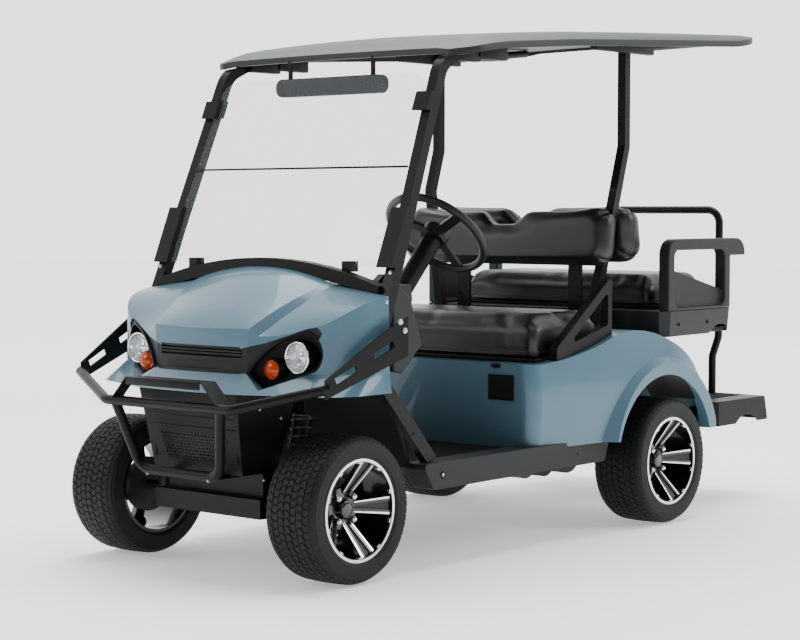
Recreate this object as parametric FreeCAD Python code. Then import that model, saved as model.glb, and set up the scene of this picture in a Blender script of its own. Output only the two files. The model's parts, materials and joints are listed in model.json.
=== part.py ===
import FreeCAD, Part

import math
import os

from FreeCAD import Vector

# Golf cart with a rear-facing back bench. Millimetres, +Z up, front towards -Y, driver's side at +X.
# Stations run rearwards from the front axle line. The finished pieces move forward together,
# so that the origin is on the ground under the middle of the overall length.

# Shared clearances
seat_gap = 0.3
overrun = 40.0
small_overrun = 1.0
crumb_share = 0.02
full_turn = 360.0
quarter_turn = 90.0

# Wheels and track
wheelbase = 1671.0
front_wheel_x = 454.0
rear_wheel_x = 524.0
cabin_to_axle = 771.0
body_front_y = wheelbase - cabin_to_axle
tyre_radius = 234.4
tyre_width = 205.0
tyre_shoulder = 26.0
tyre_crown = 6.0
rim_radius = 169.7
rim_bead = 158.0
rim_width = 190.0
rim_wall = 7.0
rim_face_depth = 8.0
hub_cap_radius = 33.0
hub_cap_length = 20.0
hub_cap_share = 0.8
hub_flange_radius = 66.0
hub_face_x = -20.0
hub_front_x = 20.0
hub_plate_gap = 3.0
hub_bore_radius = 15.0
spoke_count = 5
spoke_root_radius = 44.0
spoke_root_inner = 3.0
spoke_root_outer = 17.0
spoke_tip_inner = 15.0
spoke_tip_outer = 29.0
spoke_root_thickness = 24.0
spoke_tip_thickness = 20.0
lug_count = 4
lug_circle_radius = 50.8
lug_radius = 9.5
lug_height = 16.0
lug_first_turn = 45.0
spindle_clearance = 0.3

# Knuckles and front suspension
kingpin_x = 330.0
kingpin_radius = 14.0
knuckle_clearance = 0.5
knuckle_barrel_radius = 24.0
knuckle_barrel_height = 84.0
steering_arm_length = 105.0
steering_arm_width = 30.0
steering_arm_thickness = 12.0
brake_radius = 92.0
brake_thickness = 26.0
fork_gap = 1.0
fork_thickness = 16.0
fork_width = 56.0
damper_radius = 19.0
damper_rod_radius = 8.0
tower_size = 40.0
damper_top_x = 250.0
damper_top_y = 75.0
damper_top_z = 572.0
damper_body_share = 0.8
coil_start_share = 0.2
spring_radius = 31.0

# Steering gear
rack_y = 105.0
rack_radius = 13.0
rack_housing_radius = 24.0
rack_housing_half = 110.0
rack_clearance = 0.5
tie_rod_radius = 8.0
tie_eye_radius = 15.0
tie_eye_thickness = 14.0
tie_gap = 2.0

# Steering column and wheel
column_foot_y = 235.0
column_foot_z = 563.0
steering_x = 250.0
steering_hub_y = 738.0
steering_hub_z = 1085.0
column_radius = 24.0
column_cover_radius = 34.0
column_cover_share = 0.66
steering_stub_radius = 10.0
steering_stub_length = 24.0
steering_rim_radius = 180.0
steering_grip = 14.0
steering_hub_radius = 46.0
steering_hub_depth = 42.0
steering_spoke_width = 34.0
steering_spoke_thickness = 12.0
steering_gap = 6.0
steering_dish = 30.0
steering_spoke_count = 3

# Chassis frame
rail_x = 190.0
rail_width = 50.0
rail_height = 76.0
rail_bottom = 252.0
rail_front_y = -60.0
rail_bend = 60.0
rail_rise_ahead = 331.0
rail_rise_length = 130.0
rail_rise_start = wheelbase - rail_rise_ahead
rail_rise_end = rail_rise_start + rail_rise_length
frame_tail = 729.0
rail_rear_reach = wheelbase + frame_tail
apron_cross_inset = 18.0
spring_cross_ahead = 341.0
tail_cross_behind = 389.0
cross_stations = (rail_front_y, rack_y, body_front_y + apron_cross_inset, wheelbase - spring_cross_ahead,
                  wheelbase + tail_cross_behind)
cross_width = 44.0
outrigger_reach = 470.0
outrigger_height = 40.0
nose_bar_width = 480.0
nose_bar_height = 62.0
nose_bar_bottom = 190.0
nose_bar_depth = 46.0

# Rear axle and its springs
axle_tube_radius = 36.0
gearcase_radius = 86.0
gearcase_width = 90.0
gearcase_x = 105.0
motor_radius = 80.0
motor_length = 205.0
motor_forward = 150.0
motor_drop = 20.0
motor_case_share = 0.8
motor_body_share = 0.8
motor_end_share = 0.7
spring_seat_x = 330.0
leaf_width = 45.0
leaf_thickness = 8.0
leaf_count = 3
leaf_half_length = 420.0
leaf_camber = 70.0
leaf_block = 30.0
rear_drum_radius = 88.0
rear_drum_width = 52.0

# Battery block under the front bench
battery_width = 420.0
battery_depth = 330.0
battery_height = 240.0

# Floor, sills
floor_thickness = 12.0
floor_front_y = 330.0
toe_board_y = 190.0
toe_board_z = 640.0
sill_front_y = 292.0
sill_length = 1060.0
sill_rake = 54.0
sill_rear_rake = 30.0
sill_rear_y = sill_front_y + sill_length
sill_outer_x = 560.0
sill_inner_x = 472.0
sill_bottom = 262.0
sill_top = 350.0
sill_wall = 8.0
sill_nose_radius = 14.0

# Front cowl. Plan outlines: height, nose station, then the points of the left half as x and station:
# nose corner, flank end, corner arc's middle, its end, and the rear corner.
cowl_wall = 6.0
cowl_plans = (
    (592.0, -244.0, (218.0, -229.0), (455.0, -135.0), (530.0, -85.0), (560.0, -20.0), (566.0, 130.0)),
    (655.0, -167.0, (212.0, -152.0), (415.0, -66.0), (500.0, -15.0), (541.0, 60.0), (557.0, 130.0)),
    (1010.0, -157.0, (209.0, -142.0), (412.0, -58.0), (494.0, -11.0), (535.0, 60.0), (551.0, 130.0)),
)
# Sections under the cowl's skin: station, crown height, then x and height of ridge, its foot and shoulder.
cowl_reach = 640.0
cowl_floor_z = 560.0
cowl_sections = (
    (-260.0, 702.0, (206.0, 698.0), (226.0, 678.0), (292.0, 664.0)),
    (-200.0, 752.0, (212.0, 745.0), (232.0, 722.0), (298.0, 694.0)),
    (-155.0, 798.0, (216.0, 788.0), (238.0, 758.0), (306.0, 728.0)),
    (-110.0, 838.0, (226.0, 818.0), (250.0, 787.0), (345.0, 764.0)),
    (-60.0, 873.0, (238.0, 846.0), (264.0, 820.0), (430.0, 803.0)),
    (0.0, 912.0, (258.0, 878.0), (284.0, 857.0), (506.0, 853.0)),
    (60.0, 947.0, (280.0, 907.0), (304.0, 893.0), (540.0, 880.0)),
    (130.0, 980.0, (302.0, 934.0), (322.0, 926.0), (551.0, 896.0)),
    (170.0, 996.0, (314.0, 946.0), (332.0, 940.0), (556.0, 902.0)),
)

# Nose fascia, chin, lamps and lower grille
fascia_top_z = 735.0
fascia_half_width = 205.0
fascia_rear_y = -40.0
fascia_wall = 42.0
fascia_wing = ((180.0, 729.0), (262.0, 749.0), (345.0, 778.0), (392.0, 797.0), (424.0, 802.0), (440.0, 784.0),
               (400.0, 700.0), (180.0, 650.0))
fascia_inset = 4.0
fascia_recess = 12.0
fascia_recess_half = 176.0
fascia_recess_low = 660.0
fascia_recess_high = 688.0
slot_half_width = 182.0
slot_low_z = 700.0
slot_high_z = 728.0
slot_depth = 30.0
louvre_count = 2
louvre_thickness = 5.0
chin_half_width = 217.0
chin_rear_y = -112.0
chin_top_z = 650.0
fascia_bottom_z = chin_top_z
bezel_angle = 24.0
bezel_tip_x = 206.0
bezel_tip_y = -153.0
bezel_length = 256.0
bezel_tip_z = 654.0
bezel_low_z = 605.0
bezel_low_share = 0.24
bezel_end_z = 662.0
bezel_end_share = 0.90
bezel_right_z = 731.0
bezel_high_z = 788.0
bezel_high_share = 0.79
bezel_upper_z = 734.0
bezel_upper_share = 0.30
bezel_reach = 160.0
bezel_depth = 60.0
bezel_lip = 6.0
bezel_pocket = 34.0
lamp_radius = 50.0
lamp_length = 70.0
lamp_stand = 6.0
lamp_x = 363.0
lamp_z = 706.0
turn_radius = 33.0
turn_x = 287.0
turn_z = 667.0
turn_length = 58.0
grille_half_top = 222.0
grille_half_bottom = 200.0
grille_rear_half_top = 268.0
grille_rear_half_bottom = 184.0
grille_top_z = 590.0
grille_bottom_z = 328.3
grille_front_y = -214.0
grille_foot_y = -165.0
grille_wall = 5.0
mesh_half_top = 152.0
mesh_half_bottom = 128.0
mesh_top_z = 450.0
mesh_bottom_z = 366.0
mesh_columns = 18
mesh_rows = 7
mesh_bar = 4.5
inner_panel_rear_y = 12.0

# Brush guard
guard_tube_radius = 16.0
guard_bar_y = -302.0
guard_bar_z = 553.0
guard_half_width = 285.0
guard_wing_x = 560.0
guard_wing_y = -172.0
guard_wing_z = 622.0
guard_bend = 60.0
loop_top_x = 240.0
loop_low_x = 180.0
loop_low_y = -246.0
loop_low_z = 330.0
loop_foot_share = 0.6
loop_foot_rise = 12.0
plate_thickness = 6.0
plate_rear_x = 604.0
plate_rear_y = 165.0
plate_rear_z = 770.0
plate_front_height = 60.0
plate_rear_height = 92.0
plate_slot_length = 90.0
plate_slot_height = 22.0
plate_slot_shares = (0.12, 0.58)
plate_knee_share = 0.72
plate_knee_rise_share = 0.55
plate_slot_rise = 5.5
nose_plate_rear_half = 180.0
nose_plate_rear_y = -262.0
nose_plate_front_half = 172.0
nose_plate_front_y = -318.0
nose_plate_z = 634.0
nose_plate_thickness = 5.0
nose_plate_hole_x = 133.0
nose_plate_hole_y = -290.0
nose_plate_hole_radius = 5.5
nose_bracket_splay = 66.0
nose_bracket_sink = 3.0

# Windshield, pillars and mirror
pillar_size = 38.0
pillar_base_x = 530.0
pillar_base_y = 165.0
pillar_base_z = 905.0
pillar_seam_y = 330.0
pillar_seam_z = 1303.0
pillar_top_x = 490.0
pillar_top_y = 462.0
pillar_top_z = 1640.0
pillar_end_y = 620.0
pillar_end_z = 1712.0
pillar_bend = 90.0
pillar_foot_share = 0.25
brace_foot_x = 520.0
brace_foot_y = 372.0
brace_foot_z = 352.0
brace_knee_y = 110.0
brace_knee_z = 640.0
brace_width = 46.0
brace_thickness = 30.0
glass_thickness = 6.0
glass_half_bottom = 500.0
glass_half_top = 462.0
glass_bottom_z = 985.0
glass_seam_z = 1305.0
glass_top_z = 1612.0
glass_gap = 8.0
glass_corner = 60.0
glass_standoff = 24.0
clamp_width = 26.0
clamp_depth = 52.0
clamp_lap = 17.0
lower_clamp_length = 190.0
upper_clamp_length = 62.0
hinge_clip_x = 352.0
hinge_clip_width = 40.0
hinge_clip_height = 34.0
hinge_clip_reach = 18.0
mirror_half_width = 245.0
mirror_height = 62.0
mirror_depth = 34.0
mirror_y = 475.0
mirror_z = 1588.0
mirror_stem_x = 190.0
mirror_stem = 12.0
mirror_round = 27.0
mirror_stem_top_z = 1682.0

# Cowl trim and dash
trim_depth = 42.0
trim_half_width = 508.0
trim_low_z = 888.0
trim_high_z = 926.0
trim_crown_low_z = 962.0
trim_crown_high_z = 1008.0
dash_half_width = 470.0
dash_front_y = 172.0
dash_rear_y = 345.0
dash_top_z = 925.0
dash_bottom_z = 690.0
dash_wall = 8.0
dash_pocket_width = 190.0
dash_pocket_height = 90.0
dash_pocket_depth = 100.0
dash_pocket_x = 250.0
dash_setback = 32.0
side_panel_top_z = 945.0
side_panel_low_z = 650.0
side_panel_point_z = 642.0
side_panel_tip_z = 730.0
side_panel_shoulder_z = 885.0
side_panel_front_y = 220.0
side_panel_foot_y = 265.0
side_panel_tip_y = 365.0
side_panel_shoulder_y = 305.0
side_panel_thickness = 26.0

# Pedals
pedal_width = 90.0
pedal_height = 70.0
pedal_thickness = 10.0
pedal_lift = 150.0
brake_pedal_x = 150.0
drive_pedal_x = 360.0
pedal_arm = 9.0
pedal_foot_y = 400.0

# Rear body. Plan points of the left half: x, and station from the rear axle.
body_wall = 6.0
body_bottom_z = 336.0
body_deck_z = 632.0
body_hump_z = 705.0
body_plan = ((498.0, -771.0), (534.0, -756.0), (553.0, -712.0), (592.0, -341.0), (612.0, 0.0), (610.0, 129.0),
             (595.0, 219.0), (572.0, 284.0), (520.0, 314.0))
body_levels = ((336.0, -9.0), (470.0, 0.0), (632.0, -9.0), (760.0, -42.0))
# Side profile, front to rear along the top: station from the rear axle and height.
body_profile_ledge = (-711.0, 632.0)
body_profile_rise = ((-481.0, 664.0), (-291.0, 716.0))
body_profile_crest = ((-121.0, 722.0), (39.0, 674.0))
body_profile_fall = ((192.0, 576.0), (306.0, 408.0))
deck_half = 470.0
deck_behind_axle = 96.0
arch_radius = 314.0
arch_ahead = 42.0
arch_z = 240.0
arch_inner_x = 404.0
liner_wall = 4.0
flare_shift = 20.0
flare_low_radius = 398.0
flare_high_radius = 344.0
flare_inner_x = 560.0
flare_outer_x = 625.0
cover_width = 108.0
cover_height = 88.0
cover_x = 412.0
cover_z = 549.0
cover_thickness = 6.0

# Front bench
bench_setback = 72.0
bench_depth = 438.0
bench_front_y = body_front_y + bench_setback
bench_rear_y = bench_front_y + bench_depth
bench_half_width = 504.0
bench_bottom_z = body_deck_z + seat_gap
bench_top_z = 785.0
bench_board = 14.0
bench_round = 45.0
bench_gap = 6.0
well_gap = 4.0
restraint_x = 514.0
restraint_width = 34.0
restraint_setback = 140.0
restraint_length = 340.0
restraint_front_y = body_front_y + restraint_setback
restraint_rear_y = restraint_front_y + restraint_length
restraint_top_z = 912.0
restraint_bar = 26.0
restraint_front_height = 52.0
restraint_hole_front = 72.0
restraint_hole_low = 58.0
restraint_hole_rise = 62.0
restraint_hole_top = 238.0
restraint_hole_round = 9.0
bench_back_gap = 8.0
bench_back_y = bench_rear_y + bench_back_gap
bench_back_bottom = 945.0
bench_back_top = 1186.0
bench_back_half = 500.0
bench_back_depth = 84.0
bench_back_lean = 26.0
bench_back_round = 60.0
scoop_half_top = 130.0
scoop_half_bottom = 55.0
scoop_depth = 52.0
scoop_rise = 10.0
back_bracket_x = 266.0
back_bracket_width = 60.0
back_bracket_thickness = 10.0
back_bracket_drop = 80.0
back_arm_low = 40.0
back_arm_height = 20.0

# Rear bench
rear_back_ahead = 74.0
rear_back_y = wheelbase - rear_back_ahead
rear_back_half = 500.0
rear_back_depth = 96.0
rear_bench_half = 470.0
rear_bench_top = 905.0
tub_setback = 9.0
tub_length = 535.0
tub_front_y = wheelbase + tub_setback
tub_rear_y = tub_front_y + tub_length
rear_bench_setback = 82.0
rear_bench_margin = 25.0
rear_bench_front_y = tub_front_y + rear_bench_setback
rear_bench_rear_y = tub_rear_y - rear_bench_margin
tub_half_width = 578.0
tub_rear_half = 560.0
tub_top_z = 788.0
rear_bench_bottom = tub_top_z + seat_gap
tub_ledge = 40.0
tub_bottom_z = 690.0
tub_wall = 8.0
tub_floor = 6.0
tub_corner = 45.0
tub_cut_radius = 130.0
tub_cut_sink = 97.0
armrest_x = 556.0
armrest_width = 46.0
armrest_setback = 28.0
armrest_overhang = 47.0
armrest_front_y = tub_front_y + armrest_setback
armrest_rear_y = tub_rear_y + armrest_overhang
armrest_top_z = 1056.0
armrest_bar = 42.0
armrest_corner = 60.0
armrest_panel = 10.0
armrest_tail_height = 67.0
armrest_infill_rear = 67.0
armrest_infill_front = 160.0
armrest_post_inset = 105.0
armrest_post_y = tub_rear_y - armrest_post_inset
support_size = 38.0
support_inset = 152.0

# Footplate and grab hoop
footplate_half = 500.0
footplate_setback = 454.0
footplate_overhang = 166.0
footplate_front_y = wheelbase + footplate_setback
footplate_rear_y = rail_rear_reach + footplate_overhang
footplate_flare = 24.0
footplate_top_z = 406.0
footplate_skirt = 98.0
footplate_wall = 7.0
footplate_front_half = 450.0
footplate_corner = 80.0
footplate_cut_behind = 80.0
hoop_half_width = 300.0
hoop_inset = 38.0
hoop_y = footplate_rear_y - hoop_inset
hoop_top_z = 1165.0
hoop_bend = 55.0
hoop_kink = 28.0
hoop_kink_low_z = 560.0
hoop_kink_high_z = 640.0
hoop_radius = 16.0

# Roof and its supports. Rows from front to rear: share of the length, underside of the edge, crown, half-width.
roof_front_y = 470.0
roof_tail = 674.0
roof_rear_y = wheelbase + roof_tail
roof_wall = 12.0
roof_edge_depth = 26.0
roof_shoulder_share = 0.90
roof_shoulder_drop_share = 0.34
roof_rows = (
    (0.0, 1664.0, 1694.0, 560.0),
    (0.03, 1676.0, 1720.0, 588.0),
    (0.10, 1698.0, 1766.0, 600.0),
    (0.55, 1750.0, 1826.0, 602.0),
    (0.92, 1793.0, 1862.0, 600.0),
    (1.0, 1826.0, 1856.0, 572.0),
)
roof_crown_mid_z = 1812.0
strut_x = 442.0
strut_roof_ahead = 65.0
strut_roof_y = wheelbase - strut_roof_ahead
strut_bend_z = 1401.0
strut_low_z = 1240.0
strut_low_lead = 51.0
strut_low_y = strut_roof_y - strut_low_lead
strut_base_z = 640.0
strut_base_x = 350.0
strut_base_lead = 86.0
strut_base_y = strut_roof_y - strut_base_lead
strut_size = 34.0

rounding = 0.5

pieces = {}


def box(x0, x1, y0, y1, z0, z1):
    """A block between two corners."""
    return Part.makeBox(x1 - x0, y1 - y0, z1 - z0, Vector(x0, y0, z0))


def rod(start, end, radius):
    """A round bar from one point to another."""
    run = end - start
    return Part.makeCylinder(radius, run.Length, start, run)


def fused(shapes):
    """One solid from overlapping or touching shapes."""
    whole = shapes[0].fuse(shapes[1:]) if len(shapes) > 1 else shapes[0]
    return whole.removeSplitter()


def mirrored(shape):
    """The same shape on the other side of the cart."""
    return shape.mirror(Vector(0, 0, 0), Vector(1, 0, 0))


def pair(shape):
    """A left piece and its right twin, kept as two solids."""
    return Part.makeCompound([shape, mirrored(shape)])


def trimmed(shape, neighbours):
    """A piece cut back to where its neighbours begin. Crumbs that the cut leaves are dropped."""
    for other in neighbours:
        shape = shape.cut(other)
    largest = max(solid.Volume for solid in shape.Solids)
    kept = [solid for solid in shape.Solids if solid.Volume > largest * crumb_share]
    return kept[0] if len(kept) == 1 else Part.makeCompound(kept)


def face_from(points):
    """A flat face inside a closed polygon."""
    return Part.Face(Part.makePolygon(points + points[:1]))


def rounded_path(points, bend):
    """Straight runs through the points, joined by tangent arcs."""
    edges = []
    start = points[0]
    for before, corner, after in zip(points, points[1:], points[2:]):
        inward = (before - corner).normalize()
        outward = (after - corner).normalize()
        turn = inward.getAngle(outward)
        setback = bend / math.tan(turn / 2)
        enter = corner + inward * setback
        leave = corner + outward * setback
        centre_line = (inward + outward).normalize()
        middle = corner + centre_line * (bend / math.sin(turn / 2) - bend)
        edges.append(Part.makeLine(start, enter))
        edges.append(Part.Arc(enter, middle, leave).toShape())
        start = leave
    edges.append(Part.makeLine(start, points[-1]))
    return Part.Wire(edges)


def bent_tube(points, radius, bend):
    """A round tube along a rounded path."""
    path = rounded_path(points, bend)
    direction = points[1] - points[0]
    profile = Part.Wire(Part.makeCircle(radius, points[0], direction))
    return path.makePipeShell([profile], True, False)


def bent_bar(points, width, depth, bend, side):
    """A square or flat bar along a rounded path. side is the direction of its width."""
    path = rounded_path(points, bend)
    direction = (points[1] - points[0]).normalize()
    across = side - direction * side.dot(direction)
    across = across.normalize() * (width / 2)
    upright = direction.cross(across).normalize() * (depth / 2)
    corners = [points[0] + across + upright, points[0] - across + upright,
               points[0] - across - upright, points[0] + across - upright]
    profile = Part.makePolygon(corners + corners[:1])
    return path.makePipeShell([profile], True, False)


def tyre():
    """A low-profile tyre about the X axis: a carcass with open inside and squared shoulders."""
    half = tyre_width / 2
    bead_half = rim_width / 2 - rim_wall - seat_gap
    bulge_radius = (tyre_radius + rim_bead) / 2
    shoulder_radius = tyre_radius - tyre_crown
    tread_half = half - tyre_shoulder
    inner = tyre_crown * 2
    bead = rim_bead + seat_gap

    def side(sign):
        low = Vector(sign * bead_half, 0, bead)
        bulge = Vector(sign * half, 0, bulge_radius)
        high = Vector(sign * (half - tyre_crown), 0, shoulder_radius - tyre_crown)
        edge = Vector(sign * tread_half, 0, shoulder_radius + tyre_crown / 2)
        return low, bulge, high, edge

    left_low, left_bulge, left_high, left_edge = side(-1)
    low, bulge, high, edge = side(1)
    crown = Vector(0, 0, tyre_radius)
    flange = Vector(bead_half, 0, rim_radius + seat_gap)
    left_flange = Vector(-bead_half, 0, rim_radius + seat_gap)
    outline = Part.Wire([
        Part.makeLine(left_low, low),
        Part.makeLine(low, flange),
        Part.Arc(flange, bulge, high).toShape(),
        Part.makeLine(high, edge),
        Part.Arc(edge, crown, left_edge).toShape(),
        Part.makeLine(left_edge, left_high),
        Part.Arc(left_high, left_bulge, left_flange).toShape(),
        Part.makeLine(left_flange, left_low),
    ])
    carcass = Part.Face(outline).revolve(Vector(0, 0, 0), Vector(1, 0, 0), 360)
    hollow_half = bead_half - inner
    hollow = Part.makeCylinder(shoulder_radius - inner, 2 * hollow_half,
                               Vector(-hollow_half, 0, 0), Vector(1, 0, 0))
    return carcass.cut(hollow)


def spoke_blade(sign, tip_radius):
    """One of a spoke's two blades, from the sunk hub out to the lip of the barrel."""
    def section(radius, front_x, thickness, inner, outer):
        corners = [Vector(front_x, sign * inner, radius), Vector(front_x, sign * outer, radius),
                   Vector(front_x - thickness, sign * outer, radius), Vector(front_x - thickness, sign * inner, radius)]
        return Part.makePolygon(corners + corners[:1])
    root = section(spoke_root_radius, hub_front_x, spoke_root_thickness, spoke_root_inner, spoke_root_outer)
    tip = section(tip_radius, rim_width / 2 - rim_face_depth, spoke_tip_thickness, spoke_tip_inner, spoke_tip_outer)
    return Part.makeLoft([root, tip], True, True)


def rim():
    """A cast wheel about the X axis, outboard at +X: barrel with two lips, hub and twin spokes."""
    half = rim_width / 2
    barrel_inner = rim_bead - rim_wall
    lips = Part.makeCylinder(rim_radius, rim_width, Vector(-half, 0, 0), Vector(1, 0, 0))
    seat = Part.makeCylinder(rim_radius + overrun, rim_width - 2 * rim_wall,
                             Vector(rim_wall - half, 0, 0), Vector(1, 0, 0))
    seat = seat.cut(Part.makeCylinder(rim_bead, rim_width, Vector(-half, 0, 0), Vector(1, 0, 0)))
    bore = Part.makeCylinder(barrel_inner, rim_width + 2 * overrun,
                             Vector(-half - overrun, 0, 0), Vector(1, 0, 0))
    barrel = lips.cut(seat).cut(bore)
    hub = Part.makeCylinder(hub_flange_radius, hub_front_x - hub_face_x,
                            Vector(hub_face_x, 0, 0), Vector(1, 0, 0))
    parts = [barrel, hub]
    for index in range(spoke_count):
        for sign in (-1, 1):
            blade = spoke_blade(sign, barrel_inner + rim_wall / 2)
            blade.rotate(Vector(0, 0, 0), Vector(1, 0, 0), -quarter_turn - index * full_turn / spoke_count)
            parts.append(blade)
    cap = Part.makeCone(hub_cap_radius, hub_cap_radius * hub_cap_share, hub_cap_length,
                        Vector(hub_front_x, 0, 0), Vector(1, 0, 0))
    parts.append(cap)
    for index in range(lug_count):
        angle = math.radians(lug_first_turn + index * full_turn / lug_count)
        parts.append(Part.makeCylinder(lug_radius, lug_height, Vector(
            hub_front_x, lug_circle_radius * math.cos(angle), lug_circle_radius * math.sin(angle)),
            Vector(1, 0, 0)))
    whole = fused(parts)
    spindle_room = Part.makeCylinder(hub_bore_radius, hub_front_x - hub_face_x,
                                     Vector(hub_face_x, 0, 0), Vector(1, 0, 0))
    return whole.cut(spindle_room)


def wheels():
    """Four wheels, each a tyre on its rim."""
    for place, x, y in (("front", front_wheel_x, 0.0), ("rear", rear_wheel_x, wheelbase)):
        for side in ("left", "right"):
            for name, shape in (("tyre", tyre()), ("rim", rim())):
                shape.translate(Vector(x, y, tyre_radius))
                pieces[f"{name}_{place}_{side}"] = shape if side == "left" else mirrored(shape)


def knuckle():
    """The left steering knuckle: pivot barrel, spindle, brake plate and steering arm."""
    barrel_low = tyre_radius - knuckle_barrel_height / 2
    barrel = Part.makeCylinder(knuckle_barrel_radius, knuckle_barrel_height,
                               Vector(kingpin_x, 0, barrel_low))
    hub_end = front_wheel_x + hub_front_x - spindle_clearance
    spindle = rod(Vector(kingpin_x, 0, tyre_radius), Vector(hub_end, 0, tyre_radius),
                  hub_bore_radius - spindle_clearance)
    plate_end = front_wheel_x + hub_face_x - hub_plate_gap
    plate = rod(Vector(plate_end - brake_thickness, 0, tyre_radius), Vector(plate_end, 0, tyre_radius),
                brake_radius)
    arm_low = barrel_low + steering_arm_thickness
    arm = box(kingpin_x - steering_arm_width / 2, kingpin_x + steering_arm_width / 2,
              0, steering_arm_length, arm_low, arm_low + steering_arm_thickness)
    boss = Part.makeCylinder(steering_arm_width / 2, steering_arm_thickness,
                             Vector(kingpin_x, steering_arm_length, arm_low))
    bore = Part.makeCylinder(kingpin_radius + knuckle_clearance, knuckle_barrel_height,
                             Vector(kingpin_x, 0, barrel_low))
    return fused([barrel, spindle, plate, arm, boss]).cut(bore)


def tie_rods():
    """The rack bar with a tie rod to each side, its eyes above the ends of the steering arms."""
    arm_top = tyre_radius - knuckle_barrel_height / 2 + 2 * steering_arm_thickness
    height = arm_top + tie_gap + tie_eye_thickness / 2
    travel = steering_arm_length / 2
    bar_half = rack_housing_half + travel + tie_eye_radius
    bar = rod(Vector(-bar_half, rack_y, height), Vector(bar_half, rack_y, height), rack_radius)
    rods = rod(Vector(-kingpin_x, rack_y, height), Vector(kingpin_x, rack_y, height), tie_rod_radius)
    eyes = [Part.makeCylinder(tie_eye_radius, tie_eye_thickness,
                              Vector(sign * kingpin_x, rack_y, arm_top + tie_gap))
            for sign in (-1, 1)]
    eyes = [eye.common(box(-2 * kingpin_x, 2 * kingpin_x, rack_y - overrun, rack_y + overrun,
                           arm_top + tie_gap, arm_top + tie_gap + tie_eye_thickness)) for eye in eyes]
    return fused([bar, rods] + eyes), height


def steering_box(height):
    """The rack housing and its two saddles under the cross tube."""
    tube = rod(Vector(-rack_housing_half, rack_y, height), Vector(rack_housing_half, rack_y, height),
               rack_housing_radius)
    saddles = [box(sign * rack_housing_half / 2 - rack_radius, sign * rack_housing_half / 2 + rack_radius,
                   rack_y - rack_housing_radius, rack_y + rack_housing_radius, height, rail_bottom)
               for sign in (-1, 1)]
    bore = rod(Vector(-rack_housing_half, rack_y, height), Vector(rack_housing_half, rack_y, height),
               rack_radius + rack_clearance)
    return fused([tube] + saddles).cut(bore)


def front_axle():
    """The front axle beam with a yoke and kingpin at each end."""
    barrel_low = tyre_radius - knuckle_barrel_height / 2
    barrel_high = tyre_radius + knuckle_barrel_height / 2
    web_x = kingpin_x - knuckle_barrel_radius - fork_thickness
    yoke_low = barrel_low - fork_gap - fork_thickness
    yoke_high = barrel_high + fork_gap + fork_thickness
    ends = []
    for sign in (-1, 1):
        inner = sign * (web_x - fork_thickness)
        outer = sign * (kingpin_x + knuckle_barrel_radius)
        low_x, high_x = min(inner, outer), max(inner, outer)
        upper = box(low_x, high_x, -fork_width / 2, fork_width / 2, yoke_high - fork_thickness, yoke_high)
        lower = box(low_x, high_x, -fork_width / 2, fork_width / 2, yoke_low, yoke_low + fork_thickness)
        web_low, web_high = min(inner, sign * web_x), max(inner, sign * web_x)
        web = box(web_low, web_high, -fork_width / 2, fork_width / 2, yoke_low, yoke_high)
        pin = Part.makeCylinder(kingpin_radius, yoke_high - yoke_low + fork_thickness,
                                Vector(sign * kingpin_x, 0, yoke_low - fork_thickness / 2))
        ends += [upper, lower, web, pin]
    beam = box(fork_thickness - web_x, web_x - fork_thickness, -fork_width / 2, fork_width / 2,
               yoke_low, yoke_low + fork_width)
    return fused([beam] + ends)


def rail_points(x):
    """The line of a frame rail: level under the floor, raised over the rear axle."""
    low = rail_bottom + rail_height / 2
    high = footplate_top_z - footplate_wall - rail_height / 2
    return [Vector(x, rail_front_y, low), Vector(x, rail_rise_start, low),
            Vector(x, rail_rise_end, high), Vector(x, rail_rear_reach, high)]


def rail_level(y):
    """Underside of the rails at a cross tube's station."""
    return rail_bottom if y < rail_rise_start else footplate_top_z - footplate_wall - rail_height


def chassis_frame():
    """Two rails, cross tubes, damper towers, sill outriggers, spring blocks and the nose bar."""
    parts = []
    rail_outer = rail_x + rail_width / 2
    for sign in (-1, 1):
        parts.append(bent_bar(rail_points(sign * rail_x), rail_width, rail_height, rail_bend, Vector(1, 0, 0)))
        tower_low, tower_high = sorted((sign * rail_x, sign * (damper_top_x + tower_size)))
        parts.append(box(tower_low, tower_high, damper_top_y - tower_size / 2, damper_top_y + tower_size / 2,
                         damper_top_z, damper_top_z + fork_thickness))
        post_low, post_high = sorted((sign * rail_x, sign * rail_outer))
        parts.append(box(post_low, post_high, damper_top_y - tower_size / 2, damper_top_y + tower_size / 2,
                         rail_bottom, damper_top_z + fork_thickness))
        arm_low, arm_high = sorted((sign * rail_x, sign * outrigger_reach))
        for y in cross_stations[2:4]:
            parts.append(box(arm_low, arm_high, y - cross_width / 2, y + cross_width / 2,
                             rail_bottom, rail_bottom + outrigger_height))
        block_low, block_high = sorted((sign * rail_outer, sign * (spring_seat_x + leaf_width / 2)))
        for y, level in ((wheelbase - leaf_half_length - leaf_block, rail_bottom),
                         (wheelbase + leaf_half_length, rail_level(rail_rear_reach))):
            parts.append(box(block_low, block_high, y, y + leaf_block, level + rail_height / 2,
                             rail_level(rail_rear_reach) + rail_height))
    for y in cross_stations:
        level = rail_level(y)
        parts.append(box(-rail_x, rail_x, y - cross_width / 2, y + cross_width / 2, level, level + rail_height))
    bar_y = rail_front_y - cross_width / 2
    parts.append(box(-nose_bar_width / 2, nose_bar_width / 2, bar_y - nose_bar_depth, bar_y,
                     nose_bar_bottom, nose_bar_bottom + nose_bar_height))
    parts.append(box(-rail_outer, rail_outer, bar_y - plate_thickness, bar_y, nose_bar_bottom,
                     rail_bottom + rail_height))
    return fused(parts)


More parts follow.
